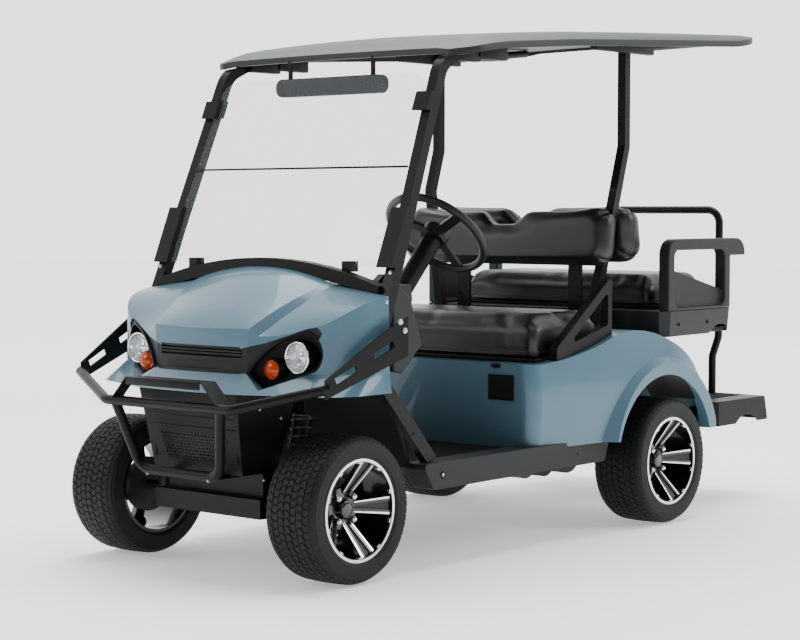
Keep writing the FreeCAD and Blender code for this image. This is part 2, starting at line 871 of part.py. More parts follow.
def dampers(x, foot_y, foot_z, top_y, top_z):
    """A damper with its coil's envelope on the left, and its twin."""
    foot = Vector(x, foot_y, foot_z)
    top = Vector(x, top_y, top_z)
    run = top - foot
    body_end = foot + run * damper_body_share
    coil_start = foot + run * coil_start_share
    shapes = [rod(foot, top, damper_rod_radius), rod(foot, body_end, damper_radius),
              rod(coil_start, body_end, spring_radius)]
    room = box(x - overrun, x + overrun, foot_y - 2 * overrun, top_y + 2 * overrun, foot_z, top_z)
    return pair(fused(shapes).common(room))


def rear_axle():
    """The rear axle tube with drums, stub shafts, spring saddles and the gearcase."""
    hub_end = rear_wheel_x + hub_front_x - spindle_clearance
    drum_end = rear_wheel_x + hub_face_x - hub_plate_gap
    centre = Vector(0, wheelbase, tyre_radius)
    shapes = [rod(centre - Vector(hub_end, 0, 0), centre + Vector(hub_end, 0, 0),
                  hub_bore_radius - spindle_clearance),
              rod(centre - Vector(drum_end, 0, 0), centre + Vector(drum_end, 0, 0), axle_tube_radius)]
    for sign in (-1, 1):
        inner = centre + Vector(sign * (drum_end - rear_drum_width), 0, 0)
        shapes.append(rod(inner, centre + Vector(sign * drum_end, 0, 0), rear_drum_radius))
        seat_low = sign * spring_seat_x - leaf_width / 2
        shapes.append(box(seat_low, seat_low + leaf_width, wheelbase - axle_tube_radius,
                          wheelbase + axle_tube_radius, tyre_radius, tyre_radius + axle_tube_radius))
    case_start = Vector(gearcase_x - gearcase_width / 2, wheelbase, tyre_radius)
    across = Vector(gearcase_width, 0, 0)
    to_motor = Vector(0, -motor_forward, -motor_drop)
    shapes += [rod(case_start, case_start + across, gearcase_radius),
               rod(case_start + to_motor, case_start + to_motor + across, motor_radius * motor_case_share)]
    web = box(case_start.x, case_start.x + gearcase_width, wheelbase - motor_forward, wheelbase,
              tyre_radius - motor_drop - axle_tube_radius, tyre_radius + axle_tube_radius)
    return fused(shapes + [web])


def drive_motor():
    """The electric motor beside the gearcase: one plain drum with an end bell."""
    start = Vector(gearcase_x - gearcase_width / 2, wheelbase - motor_forward, tyre_radius - motor_drop)
    bell = Vector(-motor_length * motor_body_share, 0, 0)
    end = Vector(-motor_length, 0, 0)
    return fused([rod(start, start + bell, motor_radius), rod(start + bell, start + end, motor_radius * motor_end_share)])


def leaf_springs():
    """The rear leaf packs, bowed down to their saddles on the axle."""
    seat = tyre_radius + axle_tube_radius
    pack = leaf_thickness * leaf_count
    lower = Part.Arc(Vector(0, wheelbase - leaf_half_length, seat + leaf_camber),
                     Vector(0, wheelbase, seat),
                     Vector(0, wheelbase + leaf_half_length, seat + leaf_camber)).toShape()
    upper = Part.Arc(Vector(0, wheelbase + leaf_half_length, seat + leaf_camber + pack),
                     Vector(0, wheelbase, seat + pack),
                     Vector(0, wheelbase - leaf_half_length, seat + leaf_camber + pack)).toShape()
    rear = Part.makeLine(lower.lastVertex().Point, upper.firstVertex().Point)
    front = Part.makeLine(upper.lastVertex().Point, lower.firstVertex().Point)
    leaf = Part.Face(Part.Wire([lower, rear, upper, front])).extrude(Vector(leaf_width, 0, 0))
    leaf.translate(Vector(spring_seat_x - leaf_width / 2, 0, 0))
    return pair(leaf)


def steering_direction():
    """Unit vector up the steering column."""
    return Vector(0, steering_hub_y - column_foot_y, steering_hub_z - column_foot_z).normalize()


def steering_wheel():
    """The steering wheel on its column axis: rim, hub and three spokes."""
    centre = Vector(steering_x, steering_hub_y, steering_hub_z)
    grip = Part.makeTorus(steering_rim_radius, steering_grip)
    hub = Part.makeCylinder(steering_hub_radius, steering_hub_depth, Vector(0, 0, -steering_dish))
    shapes = [grip, hub]
    for index in range(steering_spoke_count):
        spoke = box(0, steering_rim_radius, -steering_spoke_width / 2, steering_spoke_width / 2,
                    -steering_spoke_thickness / 2, steering_spoke_thickness / 2)
        spoke.rotate(Vector(0, 0, 0), Vector(0, 0, 1), quarter_turn + index * full_turn / steering_spoke_count)
        shapes.append(spoke)
    socket = Part.makeCylinder(steering_stub_radius + spindle_clearance,
                               steering_stub_length + spindle_clearance, Vector(0, 0, -steering_dish))
    wheel = fused(shapes).cut(socket)
    tilt = math.degrees(math.atan2(steering_hub_y - column_foot_y, steering_hub_z - column_foot_z))
    wheel.rotate(Vector(0, 0, 0), Vector(1, 0, 0), -tilt)
    wheel.translate(centre)
    return wheel


def steering_column():
    """The fixed column: a slim tube with a wider cover below the wheel, running into the dash."""
    direction = steering_direction()
    top = Vector(steering_x, steering_hub_y, steering_hub_z) - direction * (steering_dish + steering_gap)
    foot = Vector(steering_x, column_foot_y, column_foot_z)
    cover_start = foot + (top - foot) * column_cover_share
    stub = rod(top, top + direction * (steering_gap + steering_stub_length), steering_stub_radius)
    return fused([rod(foot, top, column_radius), rod(cover_start, top, column_cover_radius), stub])


def pedals():
    """Brake and drive pedals on arms that rise from the floor, parallel to the toe board."""
    floor_z = rail_bottom + rail_height + floor_thickness
    lean = math.degrees(math.atan2(floor_front_y - toe_board_y, toe_board_z - floor_z))
    ground = box(-sill_inner_x, sill_inner_x, 0, body_front_y, 0, floor_z)
    shapes = []
    for x in (brake_pedal_x, drive_pedal_x):
        face = box(x - pedal_width / 2, x + pedal_width / 2, -pedal_thickness, 0, pedal_lift,
                   pedal_lift + pedal_height)
        arm = box(x - pedal_arm, x + pedal_arm, -pedal_thickness, 0, -pedal_lift, pedal_lift)
        pedal = fused([face, arm])
        pedal.rotate(Vector(0, 0, 0), Vector(1, 0, 0), lean)
        pedal.translate(Vector(0, pedal_foot_y, floor_z))
        shapes.append(pedal.cut(ground))
    return Part.makeCompound(shapes)


def floor_pan():
    """The floor and toe board, one bent sheet from the apron up behind the dash."""
    rail_top = rail_bottom + rail_height
    low = [Vector(0, body_front_y, rail_top), Vector(0, floor_front_y, rail_top),
           Vector(0, toe_board_y, toe_board_z)]
    high = [Vector(0, toe_board_y + floor_thickness, toe_board_z),
            Vector(0, floor_front_y + floor_thickness / 2, rail_top + floor_thickness),
            Vector(0, body_front_y, rail_top + floor_thickness)]
    sheet = face_from(low + high).extrude(Vector(2 * sill_inner_x, 0, 0))
    sheet.translate(Vector(-sill_inner_x, 0, 0))
    return sheet


def sill():
    """The left rocker: a hollow step with raked ends, open below."""
    side = [Vector(sill_inner_x, sill_front_y, sill_top), Vector(sill_inner_x, sill_front_y + sill_rake, sill_bottom),
            Vector(sill_inner_x, sill_rear_y - sill_rear_rake, sill_bottom), Vector(sill_inner_x, sill_rear_y, sill_top)]
    outer = face_from(side).extrude(Vector(sill_outer_x - sill_inner_x, 0, 0))
    end_edges = [edge for edge in outer.Edges if abs(edge.Length - (sill_outer_x - sill_inner_x)) < rounding]
    outer = outer.makeFillet(sill_nose_radius, end_edges)
    inner = box(sill_inner_x - overrun, sill_outer_x - sill_wall, sill_front_y + sill_rake + sill_nose_radius,
                sill_rear_y - sill_rake - sill_nose_radius, sill_bottom - overrun, sill_top - sill_wall)
    return outer.cut(inner)


def cowl_plan(row, inset):
    """One plan outline of the nose and fenders: bowed nose, straight flanks and round corners."""
    z, nose_y = row[0], row[1]
    left = [Vector(x - inset, y + inset, z) for x, y in row[2:]]
    right = [Vector(-point.x, point.y, z) for point in left]
    corner, flank, middle, side, rear = left
    corner_r, flank_r, middle_r, side_r, rear_r = right
    return Part.Wire([
        Part.Arc(corner_r, Vector(0, nose_y + inset, z), corner).toShape(),
        Part.makeLine(corner, flank),
        Part.Arc(flank, middle, side).toShape(),
        Part.makeLine(side, rear),
        Part.makeLine(rear, rear_r),
        Part.makeLine(rear_r, side_r),
        Part.Arc(side_r, middle_r, flank_r).toShape(),
        Part.makeLine(flank_r, corner_r),
    ])


def cowl_section(row, inset):
    """One closed cross-section under the cowl's skin: hood dome, two ridges and flat fender tops."""
    y, crown_z = row[0], row[1] - inset
    (ridge_x, ridge_z), (foot_x, foot_z), (shoulder_x, shoulder_z) = row[2:]
    base_z = cowl_floor_z - inset
    left = [Vector(ridge_x - inset, y, ridge_z - inset), Vector(foot_x - inset, y, foot_z - inset),
            Vector(shoulder_x, y, shoulder_z - inset), Vector(cowl_reach, y, shoulder_z - inset),
            Vector(cowl_reach, y, base_z)]
    right = [Vector(-point.x, y, point.z) for point in left]
    edges = [Part.Arc(right[0], Vector(0, y, crown_z), left[0]).toShape()]
    edges += [Part.makeLine(start, end) for start, end in zip(left, left[1:])]
    edges.append(Part.makeLine(left[-1], right[-1]))
    right.reverse()
    edges += [Part.makeLine(start, end) for start, end in zip(right, right[1:])]
    return Part.Wire(edges)


def cowl_hull(inset):
    """The closed hull of the nose: what lies inside the plan outlines and under the skin."""
    walls = Part.makeLoft([cowl_plan(row, inset) for row in cowl_plans], True, True)
    under_skin = Part.makeLoft([cowl_section(row, inset) for row in cowl_sections], True, False)
    if inset == cowl_wall:
        walls = fused([walls, walls.translated(Vector(0, 0, -overrun))])
    return walls.common(under_skin)


def nose_shell():
    """The whole painted nose as one shell, with a pocket round each lamp pod."""
    outer = cowl_hull(0).cut(pair(lamp_pod(0)))
    inner = cowl_hull(cowl_wall).cut(pair(lamp_pod(cowl_wall)))
    return outer.cut(inner)


def fascia_room():
    """The band between hood and chin that the dark fascia fills, with a wing above each lamp bezel."""
    band = box(-fascia_half_width, fascia_half_width, -cowl_reach, fascia_rear_y, fascia_bottom_z, fascia_top_z)
    wing = face_from([Vector(x, -cowl_reach, z) for x, z in fascia_wing]).extrude(Vector(0, cowl_reach + fascia_rear_y, 0))
    return fused([band.common(box(-fascia_wing[0][0], fascia_wing[0][0], -cowl_reach, overrun, 0, cowl_reach * 2)),
                  wing, mirrored(wing)])


def chin_room():
    """The band under the fascia that belongs to the chin."""
    return box(-chin_half_width, chin_half_width, -cowl_reach, chin_rear_y, 0, chin_top_z)


def front_cowl():
    """The one-piece hood and fenders: a domed shell, open below and to the rear."""
    return nose_shell().cut(chin_room()).cut(fascia_room())


def plan_loft(low_points, low_z, high_points, high_z):
    """A solid between two plan outlines at two heights."""
    def wire(points, z):
        corners = [Vector(x, y, z) for x, y in points]
        return Part.makePolygon(corners + corners[:1])
    return Part.makeLoft([wire(low_points, low_z), wire(high_points, high_z)], True, True)


def symmetric(points):
    """A plan outline from its left half, listed from the front middle rearwards."""
    return points + [(-x, y) for x, y in reversed(points)]


def nose_chin():
    """The body-coloured chin below the fascia, raked forward to the guard."""
    return nose_shell().common(chin_room())


def nose_fascia():
    """The dark band between hood and chin, with its louvred slot and a wide shallow recess."""
    band = cowl_hull(fascia_inset).cut(cowl_hull(fascia_inset + fascia_wall)).common(fascia_room())
    band = band.cut(pair(lamp_pod(0)))
    front = cowl_plans[1][1]
    slot = box(-slot_half_width, slot_half_width, front - overrun, front + slot_depth, slot_low_z, slot_high_z)
    recess = box(-fascia_recess_half, fascia_recess_half, front - overrun, front + fascia_recess,
                 fascia_recess_low, fascia_recess_high)
    band = band.cut(slot).cut(recess)
    blades = []
    for index in range(louvre_count):
        z = slot_low_z + (slot_high_z - slot_low_z) * (index + 1) / (louvre_count + 1)
        blades.append(box(-slot_half_width, slot_half_width, front + slot_depth / 2, front + slot_depth,
                          z - louvre_thickness / 2, z + louvre_thickness / 2))
    return fused([band] + blades)


def bezel_place(shape):
    """Turn a shape drawn in the lamp plane, along +X and facing -Y, to the left lamp's place."""
    shape.rotate(Vector(0, 0, 0), Vector(0, 0, 1), bezel_angle)
    shape.translate(Vector(bezel_tip_x, bezel_tip_y, 0))
    return shape


def eye_outline(inset, depth):
    """The eye-shaped outline of a lamp bezel in its own plane."""
    tip = Vector(inset * 2, depth, bezel_tip_z)
    low = Vector(bezel_length * bezel_low_share, depth, bezel_low_z + inset)
    low_end = Vector(bezel_length * bezel_end_share - inset, depth, bezel_end_z + inset)
    right = Vector(bezel_length - inset, depth, bezel_right_z)
    high = Vector(bezel_length * bezel_high_share, depth, bezel_high_z - inset)
    upper = Vector(bezel_length * bezel_upper_share, depth, bezel_upper_z - inset)
    return Part.Face(Part.Wire([
        Part.makeLine(tip, low),
        Part.makeLine(low, low_end),
        Part.Arc(low_end, right, high).toShape(),
        Part.Arc(high, upper, tip).toShape(),
    ]))


def lamp_pod(grow):
    """The room of the left lamp pod, open forwards, which the painted nose is cut to."""
    return bezel_place(eye_outline(-grow, -bezel_reach).extrude(Vector(0, bezel_reach + bezel_depth, 0)))


def lamp_bezel():
    """The left lamp bezel: a dished pod with sockets for both lamps."""
    pod = eye_outline(0, -bezel_lip).extrude(Vector(0, bezel_depth + bezel_lip, 0))
    dish = eye_outline(bezel_lip, -bezel_lip).extrude(Vector(0, bezel_pocket, 0))
    return bezel_place(pod.cut(dish))


def lamp(x, z, radius, length):
    """A round lamp that faces straight ahead, its face standing in the bezel's plane."""
    face_y = bezel_tip_y + (x - bezel_tip_x) * math.tan(math.radians(bezel_angle)) - lamp_stand
    return Part.makeCylinder(radius, length, Vector(x, face_y, z), Vector(0, 1, 0))


def front_grille():
    """The lower nose box: raked front panel with a perforated insert, and its two side walls."""
    front_low = symmetric([(grille_half_bottom, grille_foot_y), (grille_rear_half_bottom, inner_panel_rear_y)])
    front_high = symmetric([(grille_half_top, grille_front_y), (grille_rear_half_top, inner_panel_rear_y)])
    outer = plan_loft(front_low, grille_bottom_z, front_high, grille_top_z)
    wall = grille_wall
    inner_low = symmetric([(grille_half_bottom - wall, grille_foot_y + wall),
                           (grille_rear_half_bottom - wall, inner_panel_rear_y + small_overrun)])
    inner_high = symmetric([(grille_half_top - wall, grille_front_y + wall),
                            (grille_rear_half_top - wall, inner_panel_rear_y + small_overrun)])
    shell = outer.cut(plan_loft(inner_low, grille_bottom_z - small_overrun, inner_high, grille_top_z + small_overrun))
    window_low = symmetric([(mesh_half_bottom, grille_front_y - overrun), (mesh_half_bottom, 0)])
    window_high = symmetric([(mesh_half_top, grille_front_y - overrun), (mesh_half_top, 0)])
    window = plan_loft(window_low, mesh_bottom_z, window_high, mesh_top_z)
    shell = shell.cut(window.common(box(-grille_half_top, grille_half_top, grille_front_y - overrun,
                                        grille_foot_y + overrun, mesh_bottom_z, mesh_top_z)))
    rise = grille_top_z - grille_bottom_z
    run = grille_foot_y - grille_front_y
    bars = []
    for index in range(1, mesh_columns):
        x = mesh_half_top * (2 * index / mesh_columns - 1)
        bars.append(box(x - mesh_bar / 2, x + mesh_bar / 2, grille_front_y, grille_foot_y + wall,
                        mesh_bottom_z - mesh_bar, mesh_top_z + mesh_bar))
    for index in range(1, mesh_rows):
        z = mesh_bottom_z + (mesh_top_z - mesh_bottom_z) * index / mesh_rows
        bars.append(box(-mesh_half_top, mesh_half_top, grille_front_y, grille_foot_y + wall,
                        z - mesh_bar / 2, z + mesh_bar / 2))
    sheet_points = [Vector(-mesh_half_top - wall, grille_foot_y - run * (z - grille_bottom_z) / rise + shift, z)
                    for z, shift in ((mesh_bottom_z - wall, 0), (mesh_bottom_z - wall, wall),
                                     (mesh_top_z + wall, wall), (mesh_top_z + wall, 0))]
    sheet = face_from(sheet_points).extrude(Vector(2 * (mesh_half_top + wall), 0, 0))
    mesh = fused(bars).common(sheet)
    return fused([shell, mesh])


def brush_guard():
    """The tube guard: a wrapped upper bar and a lower loop."""
    upper = bent_tube([Vector(-guard_wing_x, guard_wing_y, guard_wing_z),
                       Vector(-guard_half_width, guard_bar_y, guard_bar_z),
                       Vector(guard_half_width, guard_bar_y, guard_bar_z),
                       Vector(guard_wing_x, guard_wing_y, guard_wing_z)], guard_tube_radius, guard_bend)
    loop = bent_tube([Vector(loop_top_x, guard_bar_y, guard_bar_z),
                      Vector(loop_low_x, loop_low_y, loop_low_z),
                      Vector(-loop_low_x, loop_low_y, loop_low_z),
                      Vector(-loop_top_x, guard_bar_y, guard_bar_z)], guard_tube_radius, guard_bend)
    foot = [box(sign * loop_low_x * loop_foot_share - guard_tube_radius, sign * loop_low_x * loop_foot_share + guard_tube_radius,
                loop_low_y, rail_front_y - cross_width / 2 - plate_thickness,
                loop_low_z - guard_tube_radius, loop_low_z - guard_tube_radius + loop_foot_rise) for sign in (-1, 1)]
    return fused([upper, loop] + foot)


def guard_side_plate():
    """The left laser-cut wing plate from the guard's end back to the cowl brace."""
    span = Vector(plate_rear_x - guard_wing_x, plate_rear_y - guard_wing_y, 0)
    rise = plate_rear_z - guard_wing_z
    length = span.Length
    low_front = Vector(0, 0, guard_wing_z - plate_front_height / 2)
    outline = [low_front, Vector(length, 0, low_front.z + rise - plate_front_height / 2),
               Vector(length, 0, low_front.z + rise + plate_rear_height),
               Vector(length * plate_knee_share, 0, low_front.z + rise + plate_rear_height * plate_knee_rise_share),
               Vector(0, 0, guard_wing_z + plate_front_height / 2)]
    plate = face_from(outline).extrude(Vector(0, plate_thickness, 0))
    slope = math.atan2(rise, length)
    for share in plate_slot_shares:
        slot = box(0, plate_slot_length, -overrun, overrun, -plate_slot_height / 2, plate_slot_height / 2)
        slot.rotate(Vector(0, 0, 0), Vector(0, 1, 0), -math.degrees(slope))
        slot.translate(Vector(length * share, 0, guard_wing_z + rise * share + plate_slot_rise))
        plate = plate.cut(slot)
    plate.rotate(Vector(0, 0, 0), Vector(0, 0, 1), math.degrees(math.atan2(span.y, span.x)))
    plate.translate(Vector(guard_wing_x, guard_wing_y, 0))
    return plate


def nose_plate():
    """The flat accessory plate ahead of the chin, on two brackets that splay down to the guard bar."""
    down = Vector(0, 0, -nose_plate_thickness)
    rear_left = Vector(nose_plate_rear_half, nose_plate_rear_y, nose_plate_z)
    front_left = Vector(nose_plate_front_half, nose_plate_front_y, nose_plate_z)
    rear_right = Vector(-rear_left.x, rear_left.y, rear_left.z)
    front_right = Vector(-front_left.x, front_left.y, front_left.z)
    plate = face_from([rear_left, front_left, front_right, rear_right]).extrude(down)
    foot_z = guard_bar_z + guard_tube_radius - nose_bracket_sink
    to_foot = Vector(nose_bracket_splay, 0, foot_z - nose_plate_z)
    bracket = face_from([front_left, rear_left, rear_left + to_foot, front_left + to_foot]).extrude(down)
    holes = [Part.makeCylinder(nose_plate_hole_radius, 2 * overrun, Vector(
        sign * nose_plate_hole_x, nose_plate_hole_y, nose_plate_z - overrun)) for sign in (-1, 1)]
    return fused([plate, bracket, mirrored(bracket)]).cut(fused(holes))


def pillar_foot(x):
    """Where the windshield post's line meets the cowl brace, below the post's base."""
    return Vector(x, pillar_base_y - (pillar_seam_y - pillar_base_y) * pillar_foot_share,
                  pillar_base_z - (pillar_seam_z - pillar_base_z) * pillar_foot_share)


def pillar():
    """The left windshield post, bent back under the roof."""
    return bent_bar([pillar_foot(pillar_base_x), Vector(pillar_top_x, pillar_top_y, pillar_top_z),
                     Vector(pillar_top_x, pillar_end_y, pillar_end_z)],
                    pillar_size, pillar_size, pillar_bend, Vector(1, 0, 0))


def cowl_brace():
    """The left flat strut from the pillar foot down to the sill."""
    points = [pillar_foot(brace_foot_x), Vector(brace_foot_x, brace_knee_y, brace_knee_z),
              Vector(brace_foot_x, brace_foot_y, brace_foot_z)]
    return bent_bar(points, brace_thickness, brace_width, pillar_bend, Vector(1, 0, 0))


def windshield_pane(low_z, high_z, rounded):
    """A clear flat pane in the plane of the pillars, between two heights."""
    rise = pillar_seam_z - pillar_base_z
    run = pillar_seam_y - pillar_base_y

    def point(x_sign, z):
        share = (z - glass_bottom_z) / (glass_top_z - glass_bottom_z)
        half = glass_half_bottom + (glass_half_top - glass_half_bottom) * share
        return Vector(x_sign * half, pillar_base_y + run * (z - pillar_base_z) / rise - glass_standoff, z)

    corners = [point(-1, low_z), point(1, low_z), point(1, high_z), point(-1, high_z)]
    normal = Vector(0, -rise, run).normalize()
    pane = face_from(corners).extrude(normal * glass_thickness)
    if rounded:
        top_edges = [edge for edge in pane.Edges if abs(edge.Length - glass_thickness) < rounding
                     and edge.CenterOfMass.z > high_z - rounding]
        pane = pane.makeFillet(glass_corner, top_edges)
    return pane


def glass_y(z, outward):
    """Station of the windshield's plane at a height, moved outward along its normal."""
    rise = pillar_seam_z - pillar_base_z
    run = pillar_seam_y - pillar_base_y
    return pillar_base_y + run * (z - pillar_base_z) / rise - glass_standoff - outward


def clamp(z_low, length):
    """A left clamp that grips the pane against the pillar."""
    z_high = z_low + length
    points = [Vector(0, glass_y(z_low, glass_thickness + clamp_lap), z_low),
              Vector(0, glass_y(z_low, -clamp_depth / 2), z_low),
              Vector(0, glass_y(z_high, -clamp_depth / 2), z_high),
              Vector(0, glass_y(z_high, glass_thickness + clamp_lap), z_high)]
    block = face_from(points).extrude(Vector(clamp_width + pillar_size, 0, 0))
    share = (z_low - pillar_base_z) / (pillar_top_z - pillar_base_z)
    x = pillar_base_x + (pillar_top_x - pillar_base_x) * share
    block.translate(Vector(x - pillar_size / 2 - clamp_width, 0, 0))
    return block


def hinge_clip():
    """A left clip that holds the lower pane to the cowl trim."""
    z_low = glass_bottom_z - hinge_clip_height / 2
    return box(hinge_clip_x - hinge_clip_width / 2, hinge_clip_x + hinge_clip_width / 2,
               glass_y(glass_bottom_z, hinge_clip_reach), glass_y(glass_bottom_z, -hinge_clip_height / 2),
               z_low, z_low + hinge_clip_height)


def mirror_housing():
    """The wide rear-view mirror on its two stems under the roof."""
    body = box(-mirror_half_width, mirror_half_width, mirror_y - mirror_depth / 2, mirror_y + mirror_depth / 2,
               mirror_z - mirror_height / 2, mirror_z + mirror_height / 2)
    corners = [edge for edge in body.Edges if edge.Length < mirror_depth + rounding
               and abs(edge.Length - mirror_depth) < rounding]
    body = body.makeFillet(mirror_round, corners)
    stems = [box(sign * mirror_stem_x - mirror_stem / 2, sign * mirror_stem_x + mirror_stem / 2,
                 mirror_y - mirror_stem / 2, mirror_y + mirror_stem / 2, mirror_z,
                 mirror_stem_top_z) for sign in (-1, 1)]
    return fused([body] + stems)


def cowl_trim():
    """The black arch that closes the cowl's rear edge and carries the windshield."""
    y = cowl_plans[-1][-1][1]
    low = Part.Arc(Vector(-trim_half_width, y, trim_low_z), Vector(0, y, trim_crown_low_z),
                   Vector(trim_half_width, y, trim_low_z)).toShape()
    high = Part.Arc(Vector(trim_half_width, y, trim_high_z), Vector(0, y, trim_crown_high_z),
                    Vector(-trim_half_width, y, trim_high_z)).toShape()
    left = Part.makeLine(low.lastVertex().Point, high.firstVertex().Point)
    right = Part.makeLine(high.lastVertex().Point, low.firstVertex().Point)
    return Part.Face(Part.Wire([low, left, high, right])).extrude(Vector(0, trim_depth, 0))


def dash_panel():
    """The dash: a deep moulding with two open pockets."""
    side = [Vector(0, dash_front_y, dash_top_z), Vector(0, dash_front_y, dash_bottom_z),
            Vector(0, dash_rear_y - dash_setback, dash_bottom_z),
            Vector(0, dash_rear_y, dash_top_z - dash_pocket_height / 2),
            Vector(0, dash_rear_y - dash_wall, dash_top_z)]
    body = face_from(side).extrude(Vector(2 * dash_half_width, 0, 0))
    body.translate(Vector(-dash_half_width, 0, 0))
    for x in (-dash_pocket_x, 0):
        middle = (dash_top_z + dash_bottom_z) / 2
        body = body.cut(box(x - dash_pocket_width / 2, x + dash_pocket_width / 2,
                            dash_rear_y - dash_pocket_depth, dash_rear_y + overrun,
                            middle - dash_pocket_height / 2, middle + dash_pocket_height / 2))
    return body


def side_panel():
    """The left end panel of the dash, a flat shield with a pointed rear edge."""
    outline = [Vector(0, side_panel_front_y, side_panel_top_z), Vector(0, side_panel_front_y, side_panel_low_z),
               Vector(0, side_panel_foot_y, side_panel_point_z), Vector(0, side_panel_tip_y, side_panel_tip_z),
               Vector(0, side_panel_shoulder_y, side_panel_shoulder_z)]
    panel = face_from(outline).extrude(Vector(side_panel_thickness, 0, 0))
    panel.translate(Vector(dash_half_width, 0, 0))
    return panel


def body_outline(z, inset, widen):
    """A plan outline of the rear body at a height: flat apron, round corners, bowed sides, flat tail."""
    left = []
    for x, reach in body_plan:
        shift = math.copysign(inset, -reach) if abs(reach) > arch_radius - inset else 0
        left.append(Vector(x + widen - inset, wheelbase + reach + shift, z))
    right = [Vector(-point.x, point.y, z) for point in left]
    edges = [Part.makeLine(right[0], left[0])]
    edges += [Part.Arc(left[index], left[index + 1], left[index + 2]).toShape() for index in (0, 2, 4, 6)]
    edges.append(Part.makeLine(left[-1], right[-1]))
    right.reverse()
    edges += [Part.Arc(right[index], right[index + 1], right[index + 2]).toShape() for index in (0, 2, 4, 6)]
    return Part.Wire(edges)


def body_side_room(inset):
    """Everything under the body's side profile: ledge, rising hip, crest and the fall to the tail."""
    def at(point):
        return Vector(-cowl_reach, wheelbase + point[0], point[1] - inset)
    ledge = at(body_profile_ledge)
    rise = [at(point) for point in body_profile_rise]
    crest = [at(point) for point in body_profile_crest]
    fall = [at(point) for point in body_profile_fall]
    front_top = Vector(-cowl_reach, body_front_y - overrun, ledge.z)
    front_low = Vector(-cowl_reach, body_front_y - overrun, 0)
    rear_low = Vector(-cowl_reach, fall[-1].y, 0)
    side = Part.Wire([
        Part.makeLine(front_low, front_top),
        Part.makeLine(front_top, ledge),
        Part.Arc(ledge, rise[0], rise[1]).toShape(),
        Part.Arc(rise[1], crest[0], crest[1]).toShape(),
        Part.Arc(crest[1], fall[0], fall[1]).toShape(),
        Part.makeLine(fall[1], rear_low),
        Part.makeLine(rear_low, front_low),
    ])
    return Part.Face(side).extrude(Vector(2 * cowl_reach, 0, 0))


def body_hull(inset):
    """The rear body's closed hull with the seat well taken out and the middle deck added."""
    levels = [(z if z > body_bottom_z else z - inset, widen) for z, widen in body_levels]
    hull = Part.makeLoft([body_outline(z, inset, widen) for z, widen in levels], True, False)
    hull = hull.common(body_side_room(inset))
    well_half = bench_half_width + well_gap + inset
    well_rear = bench_rear_y + bench_gap + inset
    hull = hull.cut(box(-well_half, well_half, 0, well_rear, body_deck_z - inset, armrest_top_z))
    deck = box(inset - deck_half, deck_half - inset, well_rear, wheelbase + deck_behind_axle - inset,
               body_bottom_z, body_hump_z - inset)
    return hull.fuse(deck)


def arch_rod(inner_x, outer_x, radius):
    """A round bar on the wheel arch's own centre, on the left side."""
    start = Vector(inner_x, wheelbase - arch_ahead, arch_z)
    return rod(start, start + Vector(outer_x - inner_x, 0, 0), radius)


def arch_flare():
    """The soft flare round the left arch: a shallow cone that fades into the body's side."""
    start = Vector(flare_inner_x, wheelbase - arch_ahead + flare_shift, arch_z + flare_shift)
    cone = Part.makeCone(flare_low_radius, flare_high_radius, flare_outer_x - flare_inner_x, start, Vector(1, 0, 0))
    room = box(0, cowl_reach, 0, wheelbase + body_profile_fall[-1][0], body_bottom_z, armrest_top_z)
    return cone.common(room)


def rear_body():
    """The blue rear body: apron, quarter panels and tail as one shell, with flared wheel arches."""
    shell = body_hull(0).fuse(pair(arch_flare())).cut(body_hull(body_wall))
    shell = shell.cut(pair(arch_rod(arch_inner_x, cowl_reach, arch_radius + liner_wall)))
    well = box(-battery_width / 2 - overrun, battery_width / 2 + overrun, bench_front_y + overrun,
               bench_rear_y - overrun, body_deck_z - overrun, body_deck_z + overrun)
    return shell.cut(well).removeSplitter()


def arch_liner():
    """The black liner inside the left rear arch."""
    ring = arch_rod(arch_inner_x, flare_outer_x, arch_radius + liner_wall).cut(
        arch_rod(arch_inner_x - overrun, cowl_reach, arch_radius))
    ring = ring.common(box(0, cowl_reach, 0, 2 * wheelbase, body_bottom_z, armrest_top_z))
    ring = ring.common(body_hull(0))
    rear_cut = box(0, cowl_reach, wheelbase + body_profile_fall[0][0], 2 * wheelbase, 0, armrest_top_z)
    return ring.cut(rear_cut)


def service_cover():
    """The square cover on the apron."""
    return box(cover_x - cover_width / 2, cover_x + cover_width / 2, body_front_y - cover_thickness,
               body_front_y, cover_z - cover_height / 2, cover_z + cover_height / 2)


def soft_block(x_half, y0, y1, z0, z1, radius):
    """A plain cushion block with its long edges rounded."""
    block = box(-x_half, x_half, y0, y1, z0, z1)
    edges = [edge for edge in block.Edges if edge.CenterOfMass.z > (z0 + z1) / 2 + rounding]
    return block.makeFillet(radius, edges)


def front_bench():
    """The front seat bottom: a cushion on its board."""
    board = box(-bench_half_width, bench_half_width, bench_front_y, bench_rear_y,
                bench_bottom_z, bench_bottom_z + bench_board)
    cushion = soft_block(bench_half_width, bench_front_y, bench_rear_y, bench_bottom_z + bench_board,
                         bench_top_z, bench_round)
    return board, cushion


def seat_back(y, half, depth, lean, notch):
    """A seat back that leans, with rounded edges and a scoop in its top rail."""
    block = box(-half, half, y, y + depth, bench_back_bottom, bench_back_top)
    block = block.makeFillet(bench_back_round / 2, block.Edges)
    if notch:
        scoop = [Vector(-scoop_half_top, y - overrun, bench_back_top + scoop_rise),
                 Vector(-scoop_half_bottom, y - overrun, bench_back_top - scoop_depth),
                 Vector(scoop_half_bottom, y - overrun, bench_back_top - scoop_depth),
                 Vector(scoop_half_top, y - overrun, bench_back_top + scoop_rise)]
        block = block.cut(face_from(scoop).extrude(Vector(0, depth + 2 * overrun, 0)))
    angle = math.degrees(math.atan2(lean, bench_back_top - bench_back_bottom))
    block.rotate(Vector(0, y, bench_back_bottom), Vector(1, 0, 0), -angle)
    return block


